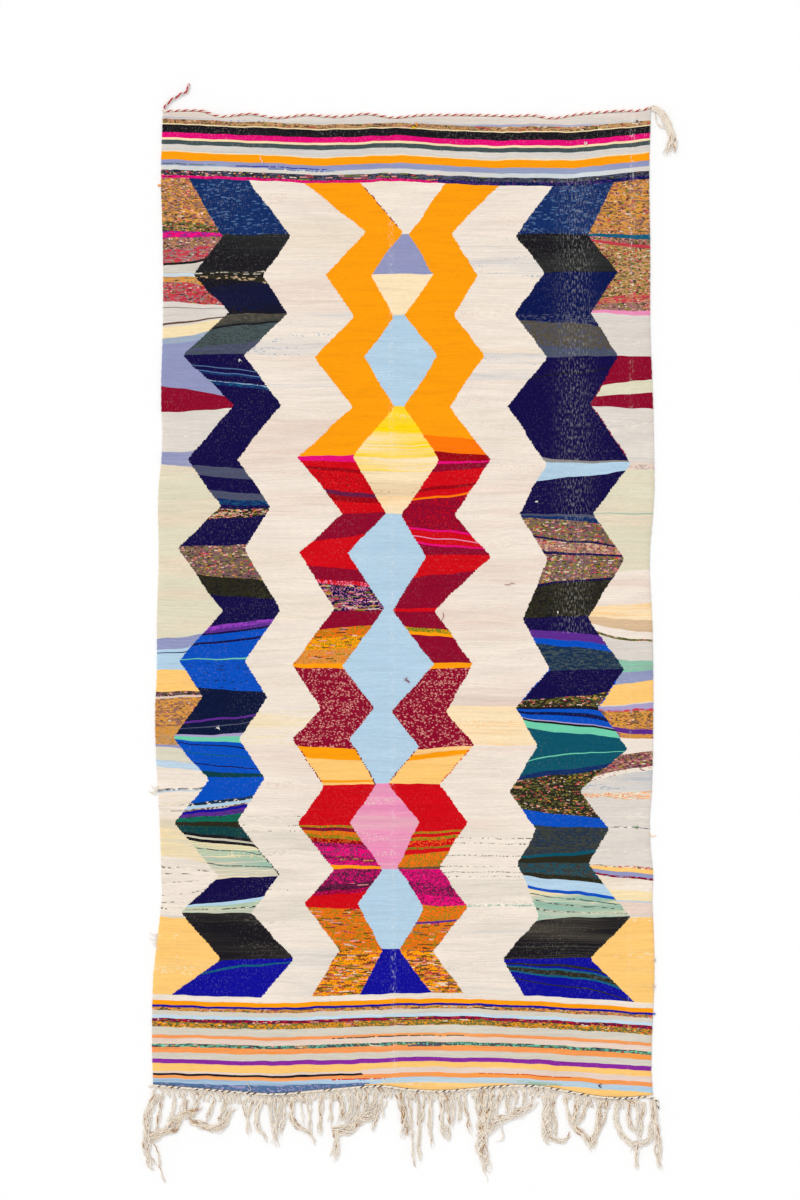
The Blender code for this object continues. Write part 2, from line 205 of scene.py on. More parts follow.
RIGHT_FIELD = [
    Stripe(1290, "ochre", "mauve_brown", 0.42, 0.26), Stripe(1098, "teal"),
    Stripe(1086, "rose_brown", "olive", 0.25, 0.50), Stripe(1068, "brick"),
    Stripe(1060, "tan", "olive", 0.35, 0.50), Stripe(915, "brick", "tan", 0.40, 0.20),
    Stripe(890, "rose_brown", "olive", 0.30, 0.35), Stripe(864, "pink"),
    Stripe(852, "oatmeal", "cream", 0.15), Stripe(729, "crimson"), Stripe(657, "sage"),
    Stripe(621, "crimson"), Stripe(573, "oatmeal", "cream", 0.30),
    Stripe(408, "blush", "grey", 0.20), Stripe(390, "sage", "ecru", 0.80),
    Stripe(261, "verdigris"), Stripe(256, "sage", "ecru", 0.80),
    Stripe(90, "cream", "blush", 0.60),
    Stripe(-9, "butter", "peach", 0.55), Stripe(-57, "sand"),
    Stripe(-90, "cream"), Stripe(-111, "olive", "black", 0.30, 0.40), Stripe(-120, "oatmeal"),
    Stripe(-180, "verdigris", "mint", 0.90), Stripe(-213, "periwinkle", "blue_grey", 0.50),
    Stripe(-243, "apricot", "peach", 0.20), Stripe(-309, "oatmeal"),
    Stripe(-315, "lavender"), Stripe(-328, "brick", "lavender", 0.40),
    Stripe(-334, "ochre", "brown", 0.40, 0.14),
    Stripe(-380, "ochre", "purple", 0.40), Stripe(-387, "purple"),
    Stripe(-398, "ochre", "purple", 0.20), Stripe(-414, "cream"),
    Stripe(-456, "rose_brown", "plum", 0.40, 0.45), Stripe(-501, "undyed", "rose_brown", 0.14),
    Stripe(-516, "oatmeal", "blue_grey", 0.50),
    Stripe(-576, "ecru", "salmon", 0.40), Stripe(-598, "oatmeal", "cream", 0.30),
    Stripe(-680, "undyed", "slate", 0.45), Stripe(-684, "oatmeal", "cream", 0.30),
    Stripe(-798, "ecru", "brick", 0.35, 0.15), Stripe(-807, "apricot"),
    Stripe(-819, "periwinkle"), Stripe(-831, "crimson", "periwinkle", 0.40),
    Stripe(-838, "cream", "ecru", 0.60),
    Stripe(-870, "lemon_cream"), Stripe(-900, "light_blue"), Stripe(-905, "blush"),
    Stripe(-945, "oatmeal"), Stripe(-951, "apricot", "lemon_cream", 0.12),
]
LEFT_BLUE_YARNS = [
    Stripe(1290, "navy", "denim", 0.09), Stripe(1095, "black", "charcoal", 0.30),
    Stripe(984, "dark_olive", "stone", 0.30), Stripe(976, "black"),
    Stripe(972, "dark_olive", "sand", 0.16),
    Stripe(960, "black", "midnight", 0.45), Stripe(861, "olive_grey", "charcoal", 0.45),
    Stripe(838, "charcoal"), Stripe(830, "black"), Stripe(826, "slate_green", "charcoal", 0.25),
    Stripe(765, "slate", "slate_green", 0.30),
    Stripe(735, "indigo"), Stripe(697, "denim"), Stripe(693, "indigo"), Stripe(680, "denim"),
    Stripe(676, "navy"), Stripe(668, "indigo"), Stripe(650, "denim", "pale_blue", 0.30),
    Stripe(645, "navy", "teal", 0.30), Stripe(636, "indigo"), Stripe(402, "slate"),
    Stripe(369, "indigo"), Stripe(324, "slate"),
    Stripe(300, "navy", "teal", 0.30), Stripe(285, "indigo"),
    Stripe(273, "dark_olive", "sand", 0.30, 0.45),
    Stripe(246, "indigo"), Stripe(162, "mauve_brown", "olive", 0.42, 0.34),
    Stripe(69, "dark_olive", "black", 0.40), Stripe(9, "indigo"),
    Stripe(-66, "violet", "purple", 0.40),
    Stripe(-78, "purple"), Stripe(-90, "indigo"), Stripe(-96, "royal"), Stripe(-120, "indigo"),
    Stripe(-126, "royal"), Stripe(-174, "mint"), Stripe(-180, "royal", "navy", 0.06),
    Stripe(-270, "dark_navy"), Stripe(-354, "purple"), Stripe(-360, "dark_navy"),
    Stripe(-375, "slate"), Stripe(-381, "dark_navy"), Stripe(-402, "lavender"),
    Stripe(-409, "mint"), Stripe(-423, "royal"),
    Stripe(-431, "indigo"), Stripe(-436, "royal"), Stripe(-462, "teal"), Stripe(-466, "royal"),
    Stripe(-497, "indigo"), Stripe(-501, "royal"), Stripe(-518, "dark_teal"),
    Stripe(-531, "royal"), Stripe(-598, "ink", "undyed", 0.22), Stripe(-606, "light_blue"),
    Stripe(-619, "brown", "undyed", 0.45), Stripe(-623, "strong_blue"),
    Stripe(-633, "purple", "ink", 0.30), Stripe(-648, "jade", "dark_green", 0.30),
    Stripe(-662, "dark_olive"), Stripe(-676, "dark_teal", "dark_green", 0.40),
    Stripe(-702, "black"), Stripe(-712, "sage", "grey", 0.40), Stripe(-721, "black"),
    Stripe(-731, "verdigris", "lemon_cream", 0.95), Stripe(-748, "slate_green", "verdigris", 0.45),
    Stripe(-752, "verdigris", "lemon_cream", 0.95), Stripe(-771, "charcoal", "sage", 0.50),
    Stripe(-774, "verdigris", "ecru", 0.95), Stripe(-795, "charcoal", "verdigris", 0.60),
    Stripe(-798, "verdigris", "ecru", 0.95),
    Stripe(-831, "indigo"), Stripe(-906, "light_blue"),
    Stripe(-915, "verdigris", "lemon_cream", 0.50),
    Stripe(-925, "charcoal", "sage", 0.50), Stripe(-928, "verdigris", "ecru", 0.50),
    Stripe(-939, "black", "olive_grey", 0.25),
    Stripe(-1077, "strong_blue"), Stripe(-1092, "teal"), Stripe(-1098, "strong_blue"),
]
RIGHT_BLUE_YARNS = [
    Stripe(1290, "navy", "denim", 0.13), Stripe(1098, "black", "charcoal", 0.40),
    Stripe(984, "midnight"), Stripe(858, "midnight", "slate", 0.30),
    Stripe(831, "olive_grey", "slate", 0.30),
    Stripe(756, "slate", "slate_green", 0.30), Stripe(729, "indigo"), Stripe(684, "black"),
    Stripe(678, "indigo"),
    Stripe(420, "grey"), Stripe(411, "light_blue"), Stripe(372, "indigo"),
    Stripe(258, "slate"), Stripe(249, "navy"), Stripe(240, "mauve_brown", "moss", 0.32, 0.42),
    Stripe(177, "indigo"), Stripe(171, "rose_brown", "sand", 0.30, 0.40), Stripe(138, "indigo"),
    Stripe(132, "mauve_brown", "moss", 0.36, 0.42), Stripe(60, "indigo"),
    Stripe(54, "dark_olive", "black", 0.40),
    Stripe(-51, "indigo"), Stripe(-96, "purple"), Stripe(-123, "royal"),
    Stripe(-141, "ink", "slate_green", 0.40), Stripe(-209, "indigo"),
    Stripe(-290, "dark_olive", "olive", 0.30, 0.26), Stripe(-320, "black"), Stripe(-327, "royal"),
    Stripe(-338, "midnight"), Stripe(-347, "royal"),
    Stripe(-366, "lavender"), Stripe(-370, "black"), Stripe(-378, "mint"),
    Stripe(-398, "petrol"), Stripe(-459, "mint"), Stripe(-463, "petrol"),
    Stripe(-510, "navy"), Stripe(-525, "dark_olive", "olive", 0.26, 0.22), Stripe(-639, "royal"),
    Stripe(-680, "charcoal", "ink", 0.40), Stripe(-759, "petrol"), Stripe(-770, "dark_olive"),
    Stripe(-788, "charcoal", "petrol", 0.40), Stripe(-826, "dark_olive"),
    Stripe(-840, "light_blue"), Stripe(-870, "royal"),
    Stripe(-881, "verdigris", "lemon_cream", 0.95),
    Stripe(-893, "slate_green", "verdigris", 0.50), Stripe(-897, "verdigris", "ecru", 0.95),
    Stripe(-916, "charcoal", "sage", 0.50), Stripe(-919, "verdigris", "lemon_cream", 0.95),
    Stripe(-935, "slate_green", "sage", 0.60), Stripe(-938, "verdigris", "ecru", 0.95),
    Stripe(-951, "black", "olive_grey", 0.60), Stripe(-1077, "strong_blue"),
    Stripe(-1093, "dark_olive"), Stripe(-1099, "strong_blue"), Stripe(-1107, "teal"),
    Stripe(-1114, "dark_olive", "slate_green", 0.30), Stripe(-1130, "teal"),
    Stripe(-1137, "strong_blue"), Stripe(-1158, "dark_olive"), Stripe(-1162, "strong_blue"),
]
LEFT_WARM_YARNS = [
    Stripe(1290, "orange"), Stripe(432, "magenta"), Stripe(414, "red"),
    Stripe(396, "dark_red"), Stripe(386, "red", "dark_red", 0.25), Stripe(324, "plum"),
    Stripe(309, "dark_red"), Stripe(295, "red"), Stripe(261, "crimson"), Stripe(189, "red"),
    Stripe(99, "crimson"), Stripe(60, "red", "pink", 0.35),
    Stripe(45, "indigo", "pink", 0.30, 0.45), Stripe(-33, "crimson"),
    Stripe(-84, "burnt_orange", "moss", 0.40, 0.08), Stripe(-112, "orange", "moss", 0.30, 0.14),
    Stripe(-148, "ochre", "burnt_orange", 0.50, 0.10), Stripe(-192, "orange"),
    Stripe(-204, "crimson", "rose", 0.19), Stripe(-444, "orange"),
    Stripe(-480, "apricot"), Stripe(-543, "orange"), Stripe(-548, "apricot"), Stripe(-555, "red"),
    Stripe(-676, "moss", "burnt_orange", 0.50), Stripe(-684, "crimson", "plum", 0.30),
    Stripe(-694, "burnt_orange", "moss", 0.30), Stripe(-708, "moss", "burnt_orange", 0.40),
    Stripe(-716, "dark_red", "burnt_orange", 0.30), Stripe(-728, "plum", "magenta", 0.50, 0.10),
    Stripe(-744, "magenta", "ink", 0.36), Stripe(-768, "plum", "magenta", 0.40, 0.10),
    Stripe(-784, "magenta", "plum", 0.40), Stripe(-796, "orange"),
    Stripe(-804, "plum", "magenta", 0.46),
    Stripe(-850, "plum", "black", 0.30, 0.10), Stripe(-868, "crimson", "magenta", 0.35),
    Stripe(-882, "red"), Stripe(-924, "burnt_orange", "moss", 0.38, 0.22),
    Stripe(-1050, "orange", "crimson", 0.34, 0.50),
]
RIGHT_WARM_YARNS = [
    Stripe(1290, "orange"), Stripe(489, "deep_orange"), Stripe(438, "dark_red"),
    Stripe(417, "magenta"), Stripe(408, "crimson"), Stripe(390, "red"),
    Stripe(342, "dark_red"), Stripe(334, "red"), Stripe(312, "deep_orange"),
    Stripe(306, "crimson", "red", 0.25), Stripe(210, "magenta"), Stripe(204, "red"),
    Stripe(186, "pink"), Stripe(180, "red"), Stripe(165, "magenta"), Stripe(158, "crimson"),
    Stripe(135, "red"), Stripe(75, "crimson"), Stripe(-24, "red"), Stripe(-33, "crimson"),
    Stripe(-84, "moss", "orange", 0.40), Stripe(-97, "orange"), Stripe(-106, "crimson"),
    Stripe(-189, "orange"),
    Stripe(-204, "crimson", "rose", 0.19), Stripe(-441, "peach"),
    Stripe(-456, "orange"), Stripe(-471, "apricot", "peach", 0.30), Stripe(-552, "red"),
    Stripe(-692, "moss", "burnt_orange", 0.45), Stripe(-700, "red"),
    Stripe(-710, "moss", "burnt_orange", 0.45),
    Stripe(-720, "red", "burnt_orange", 0.30), Stripe(-738, "moss", "red", 0.30),
    Stripe(-746, "red"),
    Stripe(-758, "burnt_orange", "moss", 0.42), Stripe(-800, "brown"),
    Stripe(-806, "magenta", "plum", 0.46), Stripe(-850, "plum", "magenta", 0.42),
    Stripe(-886, "magenta", "black", 0.24),
    Stripe(-915, "burnt_orange", "moss", 0.38), Stripe(-960, "purple"),
    Stripe(-968, "burnt_orange", "moss", 0.35, 0.20),
    Stripe(-1050, "orange", "crimson", 0.28, 0.55),
]
CENTRE_YARNS = [
    Stripe(1290, "cream", "lemon_cream", 0.10), Stripe(1098, "periwinkle", "lavender", 0.15),
    Stripe(978, "butter", "lemon_cream", 0.15), Stripe(855, "light_blue", "pale_blue", 0.20),
    Stripe(582, "yellow", "lemon_cream", 0.15), Stripe(500, "yellow", "butter", 0.90),
    Stripe(428, "butter", "yellow", 0.95), Stripe(386, "butter", "tan", 0.30),
    Stripe(310, "butter", "peach", 0.60),
    Stripe(258, "light_blue", "pale_blue", 0.20), Stripe(-552, "pink", "blush", 0.40),
    Stripe(-804, "light_blue", "pale_blue", 0.15), Stripe(-1047, "strong_blue"),
]
LEFT_GROUND_YARNS = [
    Stripe(1290, "cream", "blush", 0.40), Stripe(1150, "cream", "ecru", 0.45),
    Stripe(1010, "cream", "blush", 0.50), Stripe(861, "cream", "blue_grey", 0.22),
    Stripe(735, "cream", "blush", 0.35), Stripe(690, "cream", "blue_grey", 0.26),
    Stripe(600, "cream", "ecru", 0.40), Stripe(540, "blush", "cream", 0.60),
    Stripe(435, "cream", "blush", 0.60), Stripe(180, "cream", "ecru", 0.40),
    Stripe(-330, "cream", "lemon_cream", 0.80), Stripe(-435, "cream", "blush", 0.45),
    Stripe(-648, "undyed", "dark_green", 0.26), Stripe(-652, "cream", "stone", 0.40),
    Stripe(-674, "undyed", "dark_green", 0.28), Stripe(-678, "cream"),
    Stripe(-690, "undyed", "dark_green", 0.16), Stripe(-694, "cream", "stone", 0.50),
    Stripe(-868, "undyed", "black", 0.18), Stripe(-872, "cream", "stone", 0.50),
    Stripe(-1040, "cream", "oatmeal", 0.80),
]
RIGHT_GROUND_YARNS = [
    Stripe(1290, "cream", "blush", 0.22), Stripe(1092, "cream", "blue_grey", 0.34),
    Stripe(968, "cream", "ecru", 0.50), Stripe(861, "cream", "blush", 0.25),
    Stripe(792, "cream", "ecru", 0.65), Stripe(742, "cream", "blue_grey", 0.36),
    Stripe(660, "cream", "blush", 0.28), Stripe(575, "cream", "ecru", 0.60),
    Stripe(435, "cream", "blush", 0.60), Stripe(-288, "blush", "oatmeal", 0.50),
    Stripe(-318, "butter", "peach", 0.45),
    Stripe(-435, "cream", "blush", 0.45), Stripe(-690, "cream", "stone", 0.40),
    Stripe(-714, "undyed", "dark_green", 0.40), Stripe(-718, "cream"),
    Stripe(-730, "undyed", "dark_green", 0.34), Stripe(-734, "cream"),
    Stripe(-766, "undyed", "dark_green", 0.42), Stripe(-770, "cream"),
    Stripe(-799, "undyed", "dark_green", 0.40), Stripe(-803, "cream"),
    Stripe(-814, "undyed", "dark_green", 0.42), Stripe(-818, "cream"),
    Stripe(-828, "undyed", "dark_green", 0.30), Stripe(-832, "cream"),
    Stripe(-840, "cream", "stone", 0.50),
    Stripe(-915, "undyed", "verdigris", 0.60), Stripe(-921, "cream", "stone", 0.40),
    Stripe(-990, "cream", "oatmeal", 0.80),
]
# The straight stripes of the two ends run from selvedge to selvedge
HEADING_STRIPES = [
    Stripe(1500, "oatmeal", "blush", 0.50), Stripe(1452, "oatmeal", "periwinkle", 0.60),
    Stripe(1443, "tan", "brown", 0.35, 0.25), Stripe(1430, "lemon_cream"), Stripe(1426, "black"),
    Stripe(1405, "magenta"), Stripe(1389, "lemon_cream"), Stripe(1381, "slate_green"),
    Stripe(1368, "oatmeal", "blue_grey", 0.25), Stripe(1349, "lemon_cream"),
    Stripe(1345, "orange"), Stripe(1323, "periwinkle", "blue_grey", 0.40),
    Stripe(1304, "oatmeal", "pale_blue", 0.50), Stripe(1291, "slate", "black", 0.60, 0.38),
    Stripe(1275, "magenta", "crimson", 0.25),
]
HEADING_RIGHT_STRIPES = HEADING_STRIPES[:-2] + [
    Stripe(1291, "slate", "black", 0.60, 0.05), Stripe(1279, "midnight", "purple", 0.30),
]
HEADING_SPLIT = 125
LOWER_STRIPES = [
    Stripe(-1182, "cream", "stone", 0.40), Stripe(-1197, "orange"), Stripe(-1211, "strong_blue"),
    Stripe(-1218, "ochre", "mauve_brown", 0.35, 0.30), Stripe(-1229, "stone"),
    Stripe(-1242, "pale_blue"), Stripe(-1250, "plum", "red", 0.35, 0.30),
    Stripe(-1262, "olive", "orange", 0.45, 0.15), Stripe(-1277, "stone", "oatmeal", 0.30),
    Stripe(-1300, "salmon", "apricot", 0.25), Stripe(-1311, "blush"),
    Stripe(-1326, "slate_green", "mint", 0.45, 0.14), Stripe(-1338, "salmon", "orange", 0.40),
    Stripe(-1354, "stone", "oatmeal", 0.30), Stripe(-1372, "orchid"), Stripe(-1388, "apricot"),
    Stripe(-1409, "blush"), Stripe(-1416, "black"), Stripe(-1423, "salmon", "apricot", 0.50),
    Stripe(-1434, "light_blue", "denim", 0.30), Stripe(-1446, "denim", "lavender", 0.25),
]
LOWER_RIGHT_STRIPES = LOWER_STRIPES[:-5] + [
    Stripe(-1402, "blush"), Stripe(-1418, "tan"), Stripe(-1421, "salmon", "orange", 0.30),
    Stripe(-1433, "light_blue", "sage", 0.25), Stripe(-1449, "apricot", "butter", 0.30),
]
LOWER_SPLIT = -85
FIELD_TOP = 1268
FIELD_LOW = -1182
# These yarns change shade softly along the pick where two are mixed. The rest are flecked.
SOFT_YARNS = {
    "cream", "oatmeal", "stone", "sage", "blush", "light_blue", "pale_blue", "periwinkle",
    "lemon_cream", "butter", "apricot", "yellow", "salmon", "lavender", "black", "peach", "pink",
    "verdigris",
}

# Wefts that run only part of the way across an end: where, how many picks, and the yarn
ShortWeft = namedtuple("ShortWeft", "left right y picks yarn")
HEADING_SHORTS = [
    ShortWeft(-720, -560, 1312, 1, "slate_green"), ShortWeft(-500, -225, 1311, 1, "strong_blue"),
    ShortWeft(-400, -200, 1306, 1, "denim"),
]
LOWER_SHORTS = [
    ShortWeft(262, 540, -1420, 1, "red"), ShortWeft(380, 480, -1441, 3, "verdigris"),
    ShortWeft(-205, 190, -1306, 1, "black"), ShortWeft(30, 130, -1331, 3, "slate"),
    ShortWeft(-190, -30, -1434, 1, "red"),
]

# How far the end stripes sag below their place at the left selvedge, across the cloth
Sag = namedtuple("Sag", "x down")
HEADING_SAG = [
    Sag(-735, 0), Sag(-560, 7), Sag(-240, 19), Sag(-20, 12), Sag(80, 18), Sag(290, 26),
    Sag(500, 26), Sag(735, 5),
]
LOWER_SAG = [
    Sag(-760, 0), Sag(-580, 6), Sag(-400, 11), Sag(-20, -3), Sag(210, -2), Sag(370, 4),
    Sag(560, 14), Sag(740, 27),
]

# One pick is one weft. A colour ramp holds at most 32 stripes, so a column takes four.
PICK = 0.0033
CHART_TOP = 1.290
PICKS_PER_RAMP = 192
FIELD_RAMPS = 4
# How far a zigzag edge strays from its line: pick by pick, and slowly
EDGE_LOOSENESS = 0.0034
EDGE_WANDER = 0.014
# How stripes bend toward the turns: the reach that their lean is measured over, the bend
# beside the column's middle and what it gains outward, and the side fields' outer line
LEAN_REACH = 0.035
STRIPE_SLOPE = 0.06
STRIPE_BEND = 1.2
FIELD_MIDDLE = 0.70
# Lengths of flecks and scraps. The warm columns lie inside the half width: scraps are drawn
# out there, and flecks outside it.
RAG_LENGTH = 0.0032
SIDE_RAGS = 2.4
SCRAP_LENGTH = 0.0058
MIDDLE_SCRAPS = 3.6
WARM_HALF_WIDTH = 0.36
WARP_SPACING = 0.006
OUTLINE_WIDTH = 0.0042

# A weft that was carried along a stretch of zigzag edge, counted from the left
Outline = namedtuple("Outline", "edge y_top y_low yarn")
OUTLINES = [
    Outline(3, 1240, 1120, "crimson"), Outline(3, -440, -560, "plum"),
    Outline(2, -450, -545, "crimson"), Outline(4, -450, -540, "crimson"),
    Outline(5, -440, -545, "red"), Outline(6, -205, -300, "royal"),
    Outline(7, -235, -320, "royal"), Outline(7, 700, 430, "crimson"),
    Outline(1, -740, -825, "black"),
]

# Upright pale lines along the folds: where the cloth was folded its crowns wore pale, and the long
# line near the middle, at x about -0.04, is a painted highlight on its fold's crown
FoldLine = namedtuple("FoldLine", "x_top x_low y_top y_low half_width strength")
FOLD_WEAR_AND_HIGHLIGHT = [
    FoldLine(0.679, 0.676, 1.46, 0.95, 0.012, 0.42), FoldLine(0.676, 0.668, 0.95, -1.46, 0.010, 0.18),
    FoldLine(0.510, 0.500, 1.27, -0.10, 0.085, 0.15), FoldLine(-0.046, -0.036, 1.25, -1.46, 0.014, 0.30),
]

# ---------------------------------------------------------------- node helpers


class Value:
    """A number that nodes work out. An operator on it adds one Math node."""

    def __init__(self, graph, socket):
        self.graph = graph
        self.socket = socket

    def __add__(self, other):
        return self.graph.math("ADD", self, other)

    def __sub__(self, other):
        return self.graph.math("SUBTRACT", self, other)

    def __rsub__(self, other):
        return self.graph.math("SUBTRACT", other, self)

    def __mul__(self, other):
        return self.graph.math("MULTIPLY", self, other)

    def __truediv__(self, other):
        return self.graph.math("DIVIDE", self, other)

    def __mod__(self, other):
        return self.graph.math("MODULO", self, other)

    def __pow__(self, other):
        return self.graph.math("POWER", self, other)

    def __gt__(self, other):
        return self.graph.math("GREATER_THAN", self, other)

    def __lt__(self, other):
        return self.graph.math("LESS_THAN", self, other)

    def __abs__(self):
        return self.graph.math("ABSOLUTE", self)


class Graph:
    """Shader nodes in short calls. An input is a number, a tuple, a Value or a socket."""

    def __init__(self, name):
        self.material = bpy.data.materials.new(name)
        self.material.use_nodes = True
        self.tree = self.material.node_tree
        self.shader = self.tree.nodes["Principled BSDF"]

    def feed(self, socket, value):
        if isinstance(value, Value):
            value = value.socket
        if isinstance(value, bpy.types.NodeSocket):
            self.tree.links.new(value, socket)
        else:
            socket.default_value = value

    def add(self, kind, inputs=None, **settings):
        node = self.tree.nodes.new(kind)
        for name, value in settings.items():
            setattr(node, name, value)
        for key, value in (inputs or {}).items():
            self.feed(node.inputs[key], value)
        return node

    def math(self, operation, a, b=0.0, c=0.0):
        node = self.add("ShaderNodeMath", {0: a, 1: b, 2: c}, operation=operation)
        return Value(self, node.outputs[0])

    def vector(self, x, y, z=0.0):
        return self.add("ShaderNodeCombineXYZ", {0: x, 1: y, 2: z}).outputs[0]

    def noise(self, vector, scale, detail=2.0):
        inputs = {"Vector": vector, "Scale": scale, "Detail": detail}
        return Value(self, self.add("ShaderNodeTexNoise", inputs).outputs["Fac"])

    def chance(self, x, y, seed):
        """A value from 0 to 1 that is the same all over one cell."""
        inputs = {"Vector": self.vector(x, y, seed)}
        return Value(self, self.add("ShaderNodeTexWhiteNoise", inputs).outputs["Value"])

    def mix(self, factor, a, b, blend="MIX"):
        inputs = {0: factor, 6: a, 7: b}
        return self.add("ShaderNodeMix", inputs, data_type="RGBA", blend_type=blend).outputs[2]

    def scale_colour(self, color, factor):
        grey = self.add("ShaderNodeCombineColor", {0: factor, 1: factor, 2: factor}).outputs[0]
        return self.mix(1.0, color, grey, "MULTIPLY")

    def curve(self, at, low, high, stations, value_low, value_high):
        """A line through (station, value) pairs, read at a socket in the same units."""
        share = (at - low) / (high - low)
        node = self.add("ShaderNodeFloatCurve", {"Value": share})
        node.mapping.use_clip = False
        places = [
            ((s - low) / (high - low), (v - value_low) / (value_high - value_low))
            for s, v in sorted(stations)
        ]
        points = node.mapping.curves[0].points
        points[0].location = places[0]
        points[1].location = places[-1]
        for place in places[1:-1]:
            points.new(*place)
        for point in points:
            point.handle_type = "VECTOR"
        node.mapping.update()
        return Value(self, node.outputs[0]) * (value_high - value_low) + value_low


# ---------------------------------------------------------------- the weave's material


def ramp(graph, at, rows):
    """A stepped ramp from (share, colour) rows."""
    node = graph.add("ShaderNodeValToRGB", {"Fac": at})
    node.color_ramp.interpolation = "CONSTANT"
    elements = node.color_ramp.elements
    elements.remove(elements[1])
    elements[0].position = 0.0
    elements[0].color = rows[0][1]
    for share, color in rows[1:]:
        elements.new(share).color = color
    return node.outputs["Color"], Value(graph, node.outputs["Alpha"])


def ramp_rows(stripes, first_pick, chart_top, kind):
    """The rows of one ramp: the stripe that its first pick lies in, then each that starts."""
    picks = [round((chart_top - stripe.y * MM) / PICK) for stripe in stripes]
    begun = [stripe for pick, stripe in zip(picks, stripes) if pick <= first_pick]
    rows = [(0.0, yarn_color(begun[-1] if begun else stripes[0], kind))]
    for pick, stripe in zip(picks, stripes):
        if first_pick < pick < first_pick + PICKS_PER_RAMP:
            share = (pick - first_pick - 0.25) / PICKS_PER_RAMP
            rows.append((share, yarn_color(stripe, kind)))
    return rows


def yarn_color(stripe, kind):
    if kind == "main":
        return (*linear(stripe.yarn), stripe.scraps)
    # The upper half of alpha marks a soft yarn
    start = 0.5 if stripe.yarn in SOFT_YARNS else 0.0
    return (*linear(stripe.fleck or stripe.yarn), start + stripe.share * 0.499)


def stripe_colors(graph, stripes, pick, chart_top, ramps):
    """(main colour, scraps, fleck colour, share) for the pick that a point lies in."""
    found = {}
    for kind in ("main", "fleck"):
        color = amount = None
        for k in range(ramps):
            first = k * PICKS_PER_RAMP
            rows = ramp_rows(stripes, first, chart_top, kind)
            at = pick * (1 / PICKS_PER_RAMP) + (0.5 - first) / PICKS_PER_RAMP
            next_color, next_amount = ramp(graph, at, rows)
            if color is None:
                color, amount = next_color, next_amount
                continue
            past = pick > first - 0.5
            color = graph.mix(past, color, next_color)
            amount = choose(graph, past, amount, next_amount)
        found[kind] = (color, amount)
    return (*found["main"], *found["fleck"])


def choose(graph, factor, a, b):
    """a where factor is 0 and b where it is 1, for plain values."""
    node = graph.add("ShaderNodeMix", {0: factor, 2: a, 3: b}, data_type="FLOAT")
    return Value(graph, node.outputs[0])


def choose_all(graph, factor, a, b):
    return (
        graph.mix(factor, a[0], b[0]),
        choose(graph, factor, a[1], b[1]),
        graph.mix(factor, a[2], b[2]),
        choose(graph, factor, a[3], b[3]),
    )


def pick_at(graph, y, chart_top):
    return graph.math("FLOOR", (chart_top - y) / PICK)


def band_edges():
    """The eight zigzag edges from the left selvedge to the right, as (y, x) lists in metres."""
    order = [
        (LEFT_BLUE, "outer"), (LEFT_BLUE, "inner"), (LEFT_WARM, "outer"), (LEFT_WARM, "inner"),
        (RIGHT_WARM, "inner"), (RIGHT_WARM, "outer"), (RIGHT_BLUE, "inner"), (RIGHT_BLUE, "outer"),
    ]
    return [[(t.y * MM, getattr(t, side) * MM) for t in band] for band, side in order]


def sagging(graph, x, y, sags):
    stations = [(sag.x * MM, sag.down * MM) for sag in sags]
    low, high = stations[0][0], stations[-1][0]
    return y + graph.curve(x, low, high, stations, -0.01, 0.03)


def end_stripes(graph, x, y, sides, split, shorts):
    """The yarns of one striped end. Its two sides change over near the split."""
    top = sides[0][0].y * MM
    pick = pick_at(graph, y, top)
    left, right = (stripe_colors(graph, side, pick, top, 1) for side in sides)
    ragged = graph.chance(pick, 0.0, 97) * 0.05 + x
    main, scraps, fleck, share = choose_all(
        graph, ragged > split * MM, left, right
    )
    for short in shorts:
        first = round((top - short.y * MM) / PICK)
        here = graph.math("COMPARE", pick, first + (short.picks - 1) / 2, short.picks / 2)
        inside = (ragged > short.left * MM) * (ragged < short.right * MM)
        worn = stretched(graph, x, pick, 60.0, 0.9, 8.0) > 0.40
        here = here * inside * worn
        main = graph.mix(here, main, (*linear(short.yarn), 1.0))
    return main, scraps, fleck, share


def sloped(graph, x, y, band, about=None):
    """The height on the chart of a point in a column, whose stripes bend toward the turns."""
    middle = [(turn.y * MM, (turn.outer + turn.inner) / 2 * MM) for turn in band]
    low, high = middle[-1][0], middle[0][0]
    inside = graph.math("MINIMUM", graph.math("MAXIMUM", y, low + LEAN_REACH), high - LEAN_REACH)
    places = [
        graph.curve(inside + reach, low, high, middle, -0.75, 0.75)
        for reach in (-LEAN_REACH, 0.0, LEAN_REACH)
    ]
    lean = (places[0] - places[2]) * (1 / (2 * LEAN_REACH))
    away = x - (places[1] if about is None else about)
    bend = abs(away) * STRIPE_BEND + STRIPE_SLOPE
    return lean * away * bend + y


